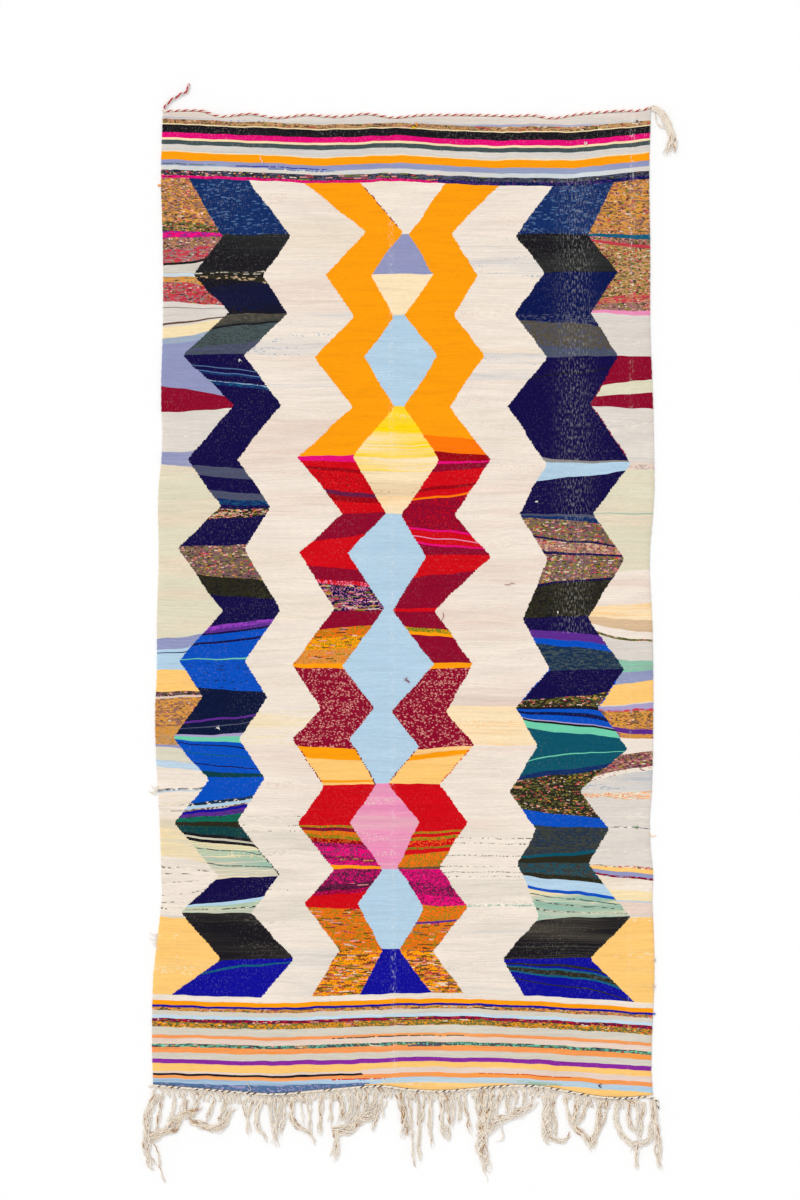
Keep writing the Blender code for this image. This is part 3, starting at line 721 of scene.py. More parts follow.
def field_yarns(graph, x, y, y_band):
    """The nine columns between the ends, and the zigzag edges with a carried weft."""
    columns = [
        LEFT_FIELD, LEFT_BLUE_YARNS, LEFT_GROUND_YARNS, LEFT_WARM_YARNS, CENTRE_YARNS,
        RIGHT_WARM_YARNS, RIGHT_GROUND_YARNS, RIGHT_BLUE_YARNS, RIGHT_FIELD,
    ]
    band_pick = pick_at(graph, y_band, CHART_TOP)
    y_step = CHART_TOP - band_pick * PICK
    leaning = {
        0: (LEFT_BLUE, -FIELD_MIDDLE), 1: (LEFT_BLUE,), 3: (LEFT_WARM,),
        5: (RIGHT_WARM,), 7: (RIGHT_BLUE,), 8: (RIGHT_BLUE, FIELD_MIDDLE),
    }
    yarns = None
    carried = []
    for k, stripes in enumerate(columns):
        at = band_pick
        if k in leaning:
            height = y if stripes in (LEFT_FIELD, RIGHT_FIELD) else y_band
            at = pick_at(graph, sloped(graph, x, height, *leaning[k]), CHART_TOP)
        here = stripe_colors(graph, stripes, at, CHART_TOP, FIELD_RAMPS)
        if yarns is None:
            yarns = here
            continue
        edge = band_edges()[k - 1]
        edge_x = graph.curve(y_step, edge[-1][0], edge[0][0], edge, -0.75, 0.75)
        loose = graph.chance(band_pick, 0.0, k) - 0.5
        edge_x = loose * EDGE_LOOSENESS + edge_x
        wander = graph.noise(graph.vector(0.0, y_step * 16.0, k * 5.0), 1.0) - 0.5
        edge_x = wander * EDGE_WANDER + edge_x
        yarns = choose_all(graph, x > edge_x, yarns, here)
        carried += [(outline, edge_x, band_pick) for outline in OUTLINES if outline.edge == k - 1]
    return yarns, carried


def add_rags(graph, x, y, pick, yarns):
    """Flecks, soft shades and scraps of rag in the main yarn, and the grain's tone."""
    main, scraps, fleck, coded = yarns
    soft = coded > 0.4999
    share = (soft * -0.5 + coded) * 2.0
    along = graph.chance(pick, 0.0, 31) * 0.08 + x
    stretch = graph.chance(pick, 0.0, 37) * 1.2 + 0.6

    # Flecks are short rags, thick in some picks and thin in others, and longer at the sides
    middle = abs(x) < WARM_HALF_WIDTH
    at_sides = middle * (1.0 - SIDE_RAGS) + SIDE_RAGS
    rag_length = stretch * at_sides * RAG_LENGTH
    rag = graph.math("FLOOR", along / rag_length)
    thick = stretched(graph, x, pick, 7.0, 0.28) * 2.0
    often = share * thick ** 1.4
    is_fleck = graph.chance(rag, pick, 41) < often
    shows = graph.chance(rag, pick, 47) * 0.50 + 0.42
    crisp = is_fleck * shows

    # Soft yarns change in long thin lines and broad bands, with a few specks together
    line = soft_step(graph, stretched(graph, x, pick, 2.6, 0.91, 3.0), 0.50, 0.68)
    broad = soft_step(graph, stretched(graph, x, y, 1.4, 14.0, 5.0), 0.44, 0.66)
    crowd = soft_step(graph, stretched(graph, x, y, 3.5, 26.0, 6.0), 0.56, 0.70)
    few = graph.math("MINIMUM", share * 2.6, 0.30)
    speckled = crowd * few
    speck = graph.chance(rag, pick, 43) < speckled
    both = line * 0.7 + broad * 0.9
    shade = graph.math("MAXIMUM", both * share, speck * shows)
    amount = choose(graph, soft, crisp, graph.math("MINIMUM", shade, 1.0))
    color = graph.mix(amount, main, fleck)

    # Scraps come in runs of near colours
    drawn_out = middle * (MIDDLE_SCRAPS - 1.0) + 1.0
    scrap_length = stretch * drawn_out * SCRAP_LENGTH
    scrap = graph.math("FLOOR", along / scrap_length)
    drift = stretched(graph, x, pick, 5.0, 0.17, 9.0)
    which = graph.chance(scrap, pick, 53) * 0.7
    which = graph.math("FRACT", drift * 1.8 + which)
    rows = [(k / len(SCRAPS), (*linear(name), 1.0)) for k, name in enumerate(SCRAPS)]
    scrap_color, _ = ramp(graph, which, rows)
    is_scrap = graph.chance(scrap, pick, 61) < scraps
    color = graph.mix(is_scrap * 0.82, color, scrap_color)

    # Mixed yarns are grainy, and plain ones streaked by the dye
    grainy = share * (1.0 - soft)
    grain = graph.chance(rag, pick, 71) - 0.5
    tone = grain * grainy * 0.8 + 1.0
    dyed = stretched(graph, x, pick, 6.0, 0.80, 2.0) * 0.30 + 0.85
    return graph.scale_colour(color, tone * dyed * (drift * 0.20 + 0.90))


def add_outlines(graph, x, y, carried, color):
    for outline, edge_x, pick in carried:
        away = abs(x - edge_x)
        beside = away < OUTLINE_WIDTH / 2
        below = y < outline.y_top * MM
        above = y > outline.y_low * MM
        shown = graph.chance(pick, 0.0, 83) > 0.3
        covered = beside * (below * above) * shown
        color = graph.mix(covered, color, (*linear(outline.yarn), 1.0))
    return color


def weave_material():
    graph = Graph("rag_weave")
    place = graph.add("ShaderNodeTexCoord").outputs["Object"]
    axes = graph.add("ShaderNodeSeparateXYZ", {0: place})
    x, y = Value(graph, axes.outputs[0]), Value(graph, axes.outputs[1])

    # Beaten wefts waver: slowly over a hand's width, finely over a finger's. Stripes that
    # meet the turns or run between the selvedges waver less.
    slow = graph.noise(place, 4.2, 1.0) * 0.024 - 0.012
    fine = graph.noise(place, 17.0, 1.0) * 0.008 - 0.004
    y_fine = y + fine
    y_woven = y_fine + slow
    y_band = slow * 0.55 + y_fine
    y_end = slow * 0.35 + y_fine

    pick = pick_at(graph, y_woven, CHART_TOP)
    yarns, carried = field_yarns(graph, x, y_woven, y_band)
    y_heading = sagging(graph, x, y_end, HEADING_SAG)
    sides = (HEADING_STRIPES, HEADING_RIGHT_STRIPES)
    here = end_stripes(graph, x, y_heading, sides, HEADING_SPLIT, HEADING_SHORTS)
    yarns = choose_all(graph, y_heading > FIELD_TOP * MM, yarns, here)
    y_lower = sagging(graph, x, y_end, LOWER_SAG)
    sides = (LOWER_STRIPES, LOWER_RIGHT_STRIPES)
    here = end_stripes(graph, x, y_lower, sides, LOWER_SPLIT, LOWER_SHORTS)
    yarns = choose_all(graph, y_lower < FIELD_LOW * MM, yarns, here)

    color = add_rags(graph, x, y, pick, yarns)
    color = add_outlines(graph, x, y, carried, color)
    color = show_warps(graph, color, x, y)
    color = show_fold_wear_and_highlight(graph, color, x, y)

    # Heathered dye and fading, and painted shade on each pick's rib: lighter at its crown and
    # darker in the grooves
    rib = graph.math("FRACT", (CHART_TOP - y_woven) / PICK)
    heather = stretched(graph, x, pick, 55.0, 0.83)
    faded = graph.noise(place, 3.0)
    crown = graph.math("SINE", rib * math.pi)
    tone = (heather * 0.20 + 0.87) * (faded * 0.10 + 0.96) * (crown * 0.12 + 0.95)
    color = graph.scale_colour(color, tone)

    # Relief: each pick is a rib, beaded where it passes over a warp
    swap = pick % 2.0 * math.pi
    phase = x * (2 * math.pi / WARP_SPACING) + swap
    bead = graph.math("SINE", phase) * 0.25 + 0.75
    height = crown * bead + heather * 0.8
    bump = graph.add("ShaderNodeBump", {"Strength": 0.55, "Distance": 0.0012, "Height": height})
    graph.feed(graph.shader.inputs["Base Color"], color)
    graph.feed(graph.shader.inputs["Normal"], bump.outputs[0])
    graph.feed(graph.shader.inputs["Roughness"], heather * 0.12 + 0.84)
    set_cloth(graph)
    return graph.material


def stretched(graph, x, y, scale_x, scale_y, seed=0.0):
    """Noise that is stretched along one axis. y may be a pick's number."""
    at = graph.vector(x * scale_x, y * scale_y, seed)
    return graph.noise(at, 1.0)


def soft_step(graph, value, low, high):
    """0 below low and 1 above high."""
    inputs = {"Value": value, "From Min": low, "From Max": high}
    node = graph.add("ShaderNodeMapRange", inputs, interpolation_type="SMOOTHSTEP")
    return Value(graph, node.outputs[0])


def show_warps(graph, color, x, y):
    """Pale warps and worn crowns show as a fine lattice, most in dark yarns by the heading."""
    upright = stretched(graph, x, y, 300.0, 95.0)
    level = stretched(graph, x, y, 90.0, 330.0, 4.0)
    worn = graph.noise(graph.vector(x, y, 7.0), 6.0, 3.0)
    seen = graph.math(
        "MAXIMUM", soft_step(graph, upright, 0.56, 0.74), soft_step(graph, level, 0.58, 0.76)
    )
    brightness = graph.add("ShaderNodeRGBToBW", {0: color}).outputs[0]
    dark = 1.0 - soft_step(graph, brightness, 0.02, 0.55)
    by_heading = (y > 1.09) * 0.14 + 0.11
    amount = by_heading * soft_step(graph, worn, 0.25, 0.75) * (seen * dark)
    return graph.mix(amount, color, (*linear("cream"), 1.0))


def show_fold_wear_and_highlight(graph, color, x, y):
    """Pale fold lines: short upright dashes of warp, closest at the fold's own line. They are
    wear, and on the middle fold a painted highlight.
    """
    broken = soft_step(graph, stretched(graph, x, y, 230.0, 75.0, 2.0), 0.50, 0.66)
    for fold_line in FOLD_WEAR_AND_HIGHLIGHT:
        slope = (fold_line.x_top - fold_line.x_low) / (fold_line.y_top - fold_line.y_low)
        middle = y * slope + (fold_line.x_low - fold_line.y_low * slope)
        away = abs(x - middle)
        near = 1.0 - soft_step(graph, away, 0.0, fold_line.half_width)
        inside = (y < fold_line.y_top) * (y > fold_line.y_low)
        amount = near * inside * broken * fold_line.strength
        color = graph.mix(amount, color, (*linear("white"), 1.0))
    return color


def set_cloth(graph):
    graph.shader.inputs["Specular IOR Level"].default_value = 0.05
    graph.shader.inputs["Sheen Weight"].default_value = 0.02
    graph.shader.inputs["Sheen Roughness"].default_value = 0.5


def yarn_material(name, yarn, other, share):
    """Spun yarn: two near shades in soft streaks, with fibres in the relief."""
    graph = Graph(name)
    place = graph.add("ShaderNodeTexCoord").outputs["Object"]
    streak = graph.noise(place, 38.0, 3.0)
    fibres = graph.noise(place, 900.0, 2.0)
    soil_and_shade = streak > 1.0 - share
    color = graph.mix(soil_and_shade, (*linear(yarn), 1.0), (*linear(other), 1.0))
    color = graph.scale_colour(color, fibres * 0.35 + 0.80)
    bump = graph.add("ShaderNodeBump", {"Strength": 0.5, "Distance": 0.0006, "Height": fibres})
    graph.feed(graph.shader.inputs["Base Color"], color)
    graph.feed(graph.shader.inputs["Normal"], bump.outputs[0])
    graph.feed(graph.shader.inputs["Roughness"], streak * 0.1 + 0.85)
    set_cloth(graph)
    return graph.material


# ---------------------------------------------------------------- the cloth

CLOTH_THICKNESS = 0.0045
CELLS_ACROSS = 100
CELLS_ALONG = 366
RIM_OFFSETS = (0.0, 0.0004, 0.0012, 0.0023)
SELVEDGE_BEAD = 0.0012
SURFACE_WAVE = 0.0007
SMOOTHING_PASSES = 6


def rim_line(axis, sign):
    """The body's outline on one side, from the CAD node's upright faces: (along, out) rows."""
    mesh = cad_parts["woven_body"].data
    rows = set()
    for face in mesh.polygons:
        normal = face.normal
        if abs(normal.z) < 0.5 and normal[axis] * sign > 0.6:
            for index in face.vertices:
                place = mesh.vertices[index].co
                rows.add((round(place[1 - axis], 5), round(place[axis], 5)))
    return np.array(sorted(rows))


def cloth_offsets(cells, length):
    """Distances from one edge to the other, closer together inside each rim."""
    inner = np.linspace(RIM_OFFSETS[-1], length - RIM_OFFSETS[-1], cells + 1)
    rim = np.array(RIM_OFFSETS[:-1])
    return np.concatenate([rim, inner, (length - rim)[::-1]])


def cloth_lift(xs, ys):
    """How far the CAD body's folds lift the cloth at each place, with their facets smoothed."""
    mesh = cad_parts["woven_body"].data
    corners = [vertex.co.copy() for vertex in mesh.vertices]
    tree = BVHTree.FromPolygons(corners, [tuple(face.vertices) for face in mesh.polygons])
    low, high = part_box("woven_body")
    lift = np.zeros_like(xs)
    for index in np.ndindex(xs.shape):
        start = Vector((xs[index], ys[index], low[2] - 0.01))
        hit = tree.ray_cast(start, Vector((0, 0, 1)))[0]
        lift[index] = hit.z if hit else np.nan
    for row in lift:
        known = ~np.isnan(row)
        if known.any():
            row[~known] = np.interp(np.flatnonzero(~known), np.flatnonzero(known), row[known])
    empty = np.isnan(lift).any(axis=1)
    rows = np.flatnonzero(~empty)
    for k in np.flatnonzero(empty):
        lift[k] = lift[rows[np.argmin(np.abs(rows - k))]]
    for _ in range(SMOOTHING_PASSES):
        padded = np.pad(lift, 1, mode="edge")
        lift = (padded[:-2, 1:-1] + padded[2:, 1:-1] + padded[1:-1, :-2] + padded[1:-1, 2:]) / 4
    return lift


def wave(xs, ys, seed, size):
    """A smooth seeded ripple between -1 and 1, of about the given wavelength."""
    chance = random.Random(seed)
    total = np.zeros_like(xs)
    for _ in range(9):
        angle = chance.uniform(0, math.pi)
        pace = 2 * math.pi / (size * chance.uniform(0.7, 1.6))
        along = xs * math.cos(angle) + ys * math.sin(angle)
        total += np.sin(pace * along + chance.uniform(0, 7))
    return total / 4.5


def make_cloth(material):
    left, right = rim_line(0, -1), rim_line(0, 1)
    top, low = rim_line(1, 1), rim_line(1, -1)
    along = cloth_offsets(CELLS_ALONG, top[:, 1].mean() - low[:, 1].mean())
    share_y = along / along[-1]
    rows_x, rows_y, near = [], [], []
    for k, t in enumerate(share_y):
        y = low[:, 1].mean() + t * along[-1]
        x_left = np.interp(y, left[:, 0], left[:, 1])
        x_right = np.interp(y, right[:, 0], right[:, 1])
        x_left += SELVEDGE_BEAD * math.sin(k * 2.1) * 0.5
        x_right += SELVEDGE_BEAD * math.sin(k * 1.9 + 1.0) * 0.5
        across = cloth_offsets(CELLS_ACROSS, x_right - x_left)
        xs = x_left + across
        y_top = np.interp(xs, top[:, 0], top[:, 1])
        y_low = np.interp(xs, low[:, 0], low[:, 1])
        rows_x.append(xs)
        rows_y.append(y_low + t * (y_top - y_low))
        from_side = np.minimum(across, across[-1] - across)
        near.append(np.minimum(from_side, min(along[k], along[-1] - along[k])))
    xs, ys, near = np.array(rows_x), np.array(rows_y), np.array(near)
    lift = cloth_lift(xs, ys)
    half = CLOTH_THICKNESS / 2
    inside = np.clip(near / half, 0, 1)
    round_rim = half * np.sqrt(1 - (1 - inside) ** 2)
    ripple = SURFACE_WAVE * (0.6 * wave(xs, ys, 5, 0.11) + 0.4 * wave(xs, ys, 6, 0.035))
    z_top = lift + half + round_rim + (0.0006 + ripple) * inside
    z_low = lift + half - round_rim
    return build_sheet(xs, ys, z_top, z_low, material)


def build_sheet(xs, ys, z_top, z_low, material):
    """A closed mesh: the top and the underside share the vertices of the rim."""
    rows, cols = xs.shape
    upper = np.arange(rows * cols).reshape(rows, cols)
    lower = upper.copy()
    inner = np.arange((rows - 2) * (cols - 2)).reshape(rows - 2, cols - 2)
    lower[1:-1, 1:-1] = rows * cols + inner
    top = np.stack([xs, ys, z_top], -1).reshape(-1, 3)
    under = np.stack([xs, ys, z_low], -1)[1:-1, 1:-1].reshape(-1, 3)
    faces = []
    for grid, turned in ((upper, False), (lower, True)):
        quads = np.stack([grid[:-1, :-1], grid[:-1, 1:], grid[1:, 1:], grid[1:, :-1]], -1)
        quads = quads.reshape(-1, 4)
        faces.append(quads[:, ::-1] if turned else quads)
    mesh = bpy.data.meshes.new("rug_cloth")
    mesh.from_pydata(np.vstack([top, under]).tolist(), [], np.vstack(faces).tolist())
    mesh.materials.append(material)
    mesh.shade_smooth()
    # One flat map for both faces, since a weft-faced weave looks the same from below
    span = np.array([np.ptp(xs), np.ptp(ys)])
    start = np.array([xs.min(), ys.min()])
    places = np.vstack([top, under])[:, :2]
    corners = np.array([loop.vertex_index for loop in mesh.loops])
    layer = mesh.uv_layers.new(name="OFBake")
    layer.uv.foreach_set("vector", ((places[corners] - start) / span).astype(np.float32).ravel())
    cloth = bpy.data.objects.new("rug_cloth", mesh)
    bpy.context.scene.collection.objects.link(cloth)
    return cloth


# ---------------------------------------------------------------- yarns

# Tubes of single yarns have few sides, and plies that show their twist have more
THIN_SIDES = 5
CORD_SIDES = 8
TAIL_SIDES = 10


def directions(path):
    """The unit direction of a path at each of its points."""
    ahead = np.gradient(path, axis=0)
    return ahead / np.maximum(np.linalg.norm(ahead, axis=1, keepdims=True), 1e-9)


def distances(path):
    """How far along a path each of its points lies."""
    return np.concatenate([[0], np.cumsum(np.linalg.norm(np.diff(path, axis=0), axis=1))])


class Yarns:
    """Many plied yarns that become one mesh."""

    def __init__(self, name, seed):
        self.name = name
        self.chance = random.Random(seed)
        self.places = []
        self.faces = []
        self.wears = []

    def tube(self, path, radius, material, sides, taper=0.0):
        """A round tube along path. taper is the share of its length that thins at each end."""
        path = np.asarray(path, float)
        ahead = directions(path)
        side = np.cross(ahead, (0.0, 0.0, 1.0))
        flat = np.linalg.norm(side, axis=1) < 1e-3
        side[flat] = (1.0, 0.0, 0.0)
        side /= np.linalg.norm(side, axis=1, keepdims=True)
        up = np.cross(side, ahead)
        t = np.linspace(0, 1, len(path))
        thin = np.ones(len(path))
        if taper:
            thin = 0.35 + 0.65 * np.clip(np.minimum(t + taper, 1 - t) / taper, 0, 1)
        start = len(self.places)
        for k in range(len(path)):
            for turn in range(sides):
                angle = 2 * math.pi * turn / sides
                out = side[k] * math.cos(angle) + up[k] * math.sin(angle)
                self.places.append(tuple(path[k] + out * radius * thin[k]))
        for k in range(len(path) - 1):
            for turn in range(sides):
                a = start + k * sides + turn
                b = start + k * sides + (turn + 1) % sides
                self.faces.append((a, b, b + sides, a + sides))
                self.wears.append(material)
        last = start + (len(path) - 1) * sides
        self.faces.append(tuple(range(start + sides - 1, start - 1, -1)))
        self.faces.append(tuple(range(last, last + sides)))
        self.wears += [material, material]

    def plied(self, path, ply_radius, offset, pitch, materials, sides):
        """Yarns twisted round each other along path, one for each material."""
        path = np.asarray(path, float)
        ahead = directions(path)
        side = np.cross(ahead, (0.0, 0.0, 1.0))
        side /= np.maximum(np.linalg.norm(side, axis=1, keepdims=True), 1e-9)
        up = np.cross(side, ahead)
        walked = distances(path)
        start = self.chance.uniform(0, 2 * math.pi)
        for k, material in enumerate(materials):
            angle = start + 2 * math.pi * (walked / pitch + k / len(materials))
            out = side * np.cos(angle)[:, None] + up * np.sin(angle)[:, None]
            self.tube(path + out * offset, ply_radius, material, sides)

    def make(self, materials):
        mesh = bpy.data.meshes.new(self.name)
        mesh.from_pydata(self.places, [], self.faces)
        for material in materials:
            mesh.materials.append(material)
        mesh.polygons.foreach_set("material_index", self.wears)
        mesh.shade_smooth()
        mesh.update()
        made = bpy.data.objects.new(self.name, mesh)
        bpy.context.scene.collection.objects.link(made)
        return made


def smooth_route(points, step):
    """Points about one step apart on a smooth curve through the given ones."""
    points = np.asarray(points, float)
    padded = np.vstack([2 * points[0] - points[1], points, 2 * points[-1] - points[-2]])
    found = []
    for k in range(1, len(padded) - 2):
        a, b, c, d = padded[k - 1 : k + 3]
        count = max(2, int(np.linalg.norm(c - b) / step))
        for t in np.arange(count) / count:
            found.append(
                0.5 * (2 * b + (c - a) * t + (2 * a - 5 * b + 4 * c - d) * t**2
                       + (3 * b - a - 3 * c + d) * t**3)
            )
    found.append(points[-1])
    return np.array(found)


# ---------------------------------------------------------------- the twined cords

CORD_PLY = 0.0017
CORD_OFFSET = 0.0018
HEADING_PITCH = 0.024
LOWER_PITCH = 0.019
TAIL_PLY = 0.0020
TAIL_OFFSET = 0.0021
TAIL_PITCH = 0.030
# The loose end's route is the CAD cord's own
TAIL_ROUTE = [
    (-0.7252, 1.4735), (-0.7200, 1.4830), (-0.7110, 1.4935), (-0.6985, 1.5030),
    (-0.6840, 1.5120), (-0.6700, 1.5195), (-0.6590, 1.5255), (-0.6540, 1.5350),
    (-0.6515, 1.5480),
]
TAIL_HEIGHT = 0.0044
LOWER_LEFT_END = [(-0.772, -1.459)]
LOWER_RIGHT_END = [(0.7500, -1.4990), (0.7555, -1.5120), (0.7560, -1.5260)]


def cad_centreline(node, x_from, x_to):
    """The middle of each ring of a CAD cord that runs across the rug, from left to right."""
    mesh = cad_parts[node].data
    places = sorted(tuple(vertex.co) for vertex in mesh.vertices)
    rings, ring = [], [places[0]]
    for place in places[1:]:
        if place[0] - ring[-1][0] > 0.005:
            rings.append(ring)
            ring = []
        ring.append(place)
    rings.append(ring)
    middles = [np.mean([np.min(r, axis=0), np.max(r, axis=0)], axis=0) for r in rings]
    return [tuple(m) for m in middles if x_from <= m[0] <= x_to]


def make_left_corner_tail(material_red, material_cream):
    yarns = Yarns("corner_tail", 3)
    route = [(x, y, TAIL_HEIGHT) for x, y in TAIL_ROUTE]
    path = smooth_route(route, 0.0022)
    yarns.plied(path, TAIL_PLY, TAIL_OFFSET, TAIL_PITCH, (0, 1), TAIL_SIDES)
    tail = yarns.make([material_red, material_cream])
    return tail, path


def tail_length():
    route = np.array(TAIL_ROUTE)
    return float(distances(smooth_route(route, 0.002))[-1])


def make_heading_cord(material_red, material_cream):
    yarns = Yarns("heading_twist", 11)
    path = smooth_route(cad_centreline("heading_cord", -9, 9), 0.004)
    yarns.plied(path, CORD_PLY, CORD_OFFSET, HEADING_PITCH, (0, 1, 1), CORD_SIDES)
    return yarns.make([material_red, material_cream])


def make_lower_cord(material_dark, material_cream):
    yarns = Yarns("lower_twist", 12)
    middle = cad_centreline("end_twining", -0.765, 0.742)
    z = middle[0][2]
    route = [(x, y, z) for x, y in LOWER_LEFT_END] + middle
    route += [(x, y, z) for x, y in LOWER_RIGHT_END]
    path = smooth_route(route, 0.004)
    yarns.plied(path, CORD_PLY, CORD_OFFSET, LOWER_PITCH, (0, 1, 1), CORD_SIDES)
    return yarns.make([material_dark, material_cream])


# ---------------------------------------------------------------- fringe and tassel

# Warp ends that hang together: how many, how far apart, and their route in millimetres
Bundle = namedtuple("Bundle", "yarns spread route")
FRINGE = [
    Bundle(5, 7, [(-747, -1480), (-774, -1545), (-777, -1650), (-762, -1695), (-747, -1722)]),
    Bundle(1, 1, [(-768, -1611), (-747, -1650), (-729, -1734), (-717, -1752)]),
    Bundle(2, 4, [(-729, -1484), (-738, -1515), (-744, -1575), (-760, -1610)]),
    Bundle(2, 4, [(-693, -1492), (-702, -1536), (-714, -1575), (-735, -1600)]),
    Bundle(6, 9, [(-765, -1612), (-735, -1597), (-693, -1575), (-663, -1545), (-633, -1524),
                  (-603, -1500)]),
    Bundle(3, 7, [(-660, -1496), (-668, -1530), (-690, -1560), (-712, -1585)]),
    Bundle(5, 7, [(-648, -1560), (-603, -1578), (-573, -1584), (-552, -1575), (-528, -1536),
                  (-513, -1496)]),
    Bundle(2, 4, [(-573, -1496), (-588, -1535), (-597, -1574)]),
    Bundle(2, 4, [(-624, -1500), (-638, -1535), (-650, -1566)]),
    Bundle(2, 4, [(-543, -1498), (-552, -1540), (-566, -1580)]),
    Bundle(2, 4, [(-489, -1500), (-477, -1545), (-474, -1584), (-480, -1614)]),
    Bundle(2, 3, [(-462, -1500), (-470, -1530), (-474, -1560)]),
    Bundle(3, 4, [(-432, -1494), (-444, -1530), (-447, -1575), (-429, -1605), (-405, -1641)]),
    Bundle(2, 4, [(-411, -1494), (-405, -1550), (-393, -1605), (-408, -1638)]),
    Bundle(2, 4, [(-394, -1494), (-392, -1560), (-390, -1612), (-387, -1650)]),
    Bundle(2, 4, [(-376, -1494), (-382, -1550), (-388, -1606)]),
    Bundle(2, 4, [(-360, -1490), (-366, -1550), (-380, -1595), (-372, -1616)]),
    Bundle(3, 4, [(-342, -1490), (-342, -1554), (-324, -1578), (-300, -1590), (-282, -1620),
                  (-270, -1641)]),
    Bundle(2, 4, [(-294, -1490), (-288, -1578), (-276, -1614)]),
    Bundle(2, 4, [(-252, -1485), (-258, -1575), (-264, -1614)]),
    Bundle(1, 1, [(-345, -1545), (-333, -1584), (-309, -1584)]),
    Bundle(1, 2, [(-318, -1488), (-312, -1535), (-306, -1580)]),
    Bundle(2, 4, [(-222, -1485), (-228, -1566), (-213, -1590)]),
    Bundle(7, 10, [(-222, -1594), (-168, -1584), (-144, -1560), (-108, -1545), (-84, -1515),
                   (-63, -1482)]),
    Bundle(3, 5, [(-195, -1484), (-192, -1530), (-200, -1580)]),
    Bundle(3, 5, [(-168, -1482), (-170, -1530), (-176, -1578)]),
    Bundle(3, 5, [(-144, -1480), (-146, -1525), (-156, -1566)]),
    Bundle(3, 5, [(-120, -1476), (-124, -1515), (-136, -1556)]),
    Bundle(3, 5, [(-93, -1476), (-100, -1510), (-112, -1545)]),
    Bundle(4, 6, [(-210, -1590), (-210, -1635), (-214, -1665), (-219, -1692)]),
    Bundle(2, 3, [(-84, -1545), (-96, -1581), (-108, -1599)]),
    Bundle(1, 1, [(-75, -1485), (-69, -1560), (-78, -1578)]),
    Bundle(4, 6, [(-27, -1480), (-12, -1518), (-3, -1560), (-6, -1605), (-12, -1626)]),
    Bundle(2, 3, [(6, -1482), (15, -1554), (15, -1620)]),
    Bundle(1, 1, [(18, -1600), (20, -1655), (30, -1710)]),
    Bundle(2, 3, [(36, -1484), (39, -1560), (39, -1650), (48, -1725)]),
    Bundle(2, 2, [(57, -1484), (51, -1530), (45, -1590)]),
    Bundle(3, 3, [(75, -1484), (72, -1584), (84, -1650)]),
    Bundle(3, 4, [(105, -1486), (111, -1590), (132, -1620)]),
    Bundle(2, 3, [(120, -1486), (128, -1560), (138, -1596)]),
    Bundle(2, 2, [(123, -1575), (129, -1614), (108, -1620)]),
    Bundle(2, 3, [(138, -1484), (144, -1584)]),
    Bundle(2, 3, [(159, -1482), (162, -1560), (156, -1578)]),
    Bundle(2, 3, [(174, -1484), (189, -1581), (204, -1623)]),
    Bundle(6, 10, [(216, -1480), (228, -1554), (224, -1635), (234, -1665), (240, -1725),
                   (231, -1746)]),
    Bundle(4, 7, [(234, -1480), (240, -1550), (236, -1600), (228, -1645)]),
    Bundle(3, 6, [(258, -1478), (250, -1530), (246, -1575)]),
    Bundle(3, 6, [(285, -1476), (266, -1530), (248, -1580)]),
    Bundle(5, 8, [(240, -1596), (280, -1562), (312, -1545), (350, -1532), (376, -1512),
                  (387, -1480)]),
    Bundle(3, 5, [(306, -1476), (306, -1510), (300, -1548)]),
    Bundle(2, 4, [(327, -1474), (330, -1505), (326, -1536)]),
    Bundle(2, 4, [(354, -1474), (356, -1500), (350, -1528)]),
    Bundle(1, 1, [(282, -1560), (289, -1598), (290, -1618), (258, -1626)]),
    Bundle(6, 10, [(420, -1486), (424, -1560), (420, -1610), (426, -1641)]),
    Bundle(2, 4, [(440, -1486), (446, -1560), (450, -1620)]),
    Bundle(3, 4, [(430, -1612), (462, -1623), (483, -1614), (498, -1588)]),
    Bundle(3, 4, [(474, -1490), (492, -1560), (522, -1599), (546, -1629), (558, -1650)]),
    Bundle(3, 4, [(516, -1494), (508, -1540), (501, -1578)]),
    Bundle(3, 4, [(546, -1500), (525, -1554), (503, -1584)]),
    Bundle(4, 5, [(504, -1582), (530, -1600), (552, -1620), (567, -1638)]),
    Bundle(4, 5, [(582, -1502), (573, -1584), (552, -1650), (561, -1659)]),
    Bundle(2, 3, [(606, -1504), (592, -1560), (576, -1605)]),
    Bundle(4, 5, [(633, -1506), (630, -1560), (645, -1599), (669, -1626), (690, -1632),
                  (726, -1620),
                  (738, -1575), (745, -1530)]),
    Bundle(3, 4, [(666, -1506), (672, -1581), (684, -1590), (693, -1620)]),
    Bundle(2, 3, [(693, -1506), (696, -1590), (694, -1622)]),
    Bundle(2, 3, [(714, -1506), (702, -1596), (696, -1624)]),
    Bundle(2, 3, [(692, -1628), (680, -1650), (672, -1665)]),
    Bundle(2, 3, [(694, -1628), (692, -1670), (693, -1716)]),
    Bundle(1, 2, [(696, -1628), (702, -1640), (705, -1650)]),
    Bundle(5, 6, [(738, -1500), (753, -1605), (756, -1650), (765, -1719)]),
]
TASSEL = [
    Bundle(6, 5, [(738, 1477), (760, 1467), (777, 1440), (790, 1410), (796, 1378), (765, 1329)]),
    Bundle(6, 5, [(738, 1476), (762, 1465), (780, 1437), (794, 1408), (800, 1378), (803, 1331)]),
    Bundle(3, 5, [(742, 1478), (764, 1464), (782, 1434), (797, 1400), (794, 1360), (778, 1328)]),
    Bundle(1, 1, [(744, 1474), (750, 1434), (762, 1419), (777, 1420), (786, 1394), (790, 1382)]),
]
WARP_RADIUS = 0.00115
KNOT_YARN_RADIUS = 0.0012
KNOT_SPACING = 0.0088
KNOT_ROW_DEPTH = 0.030
FRINGE_STEP = 0.0075
FULLNESS = 3.2
LOOSENESS = 1.5


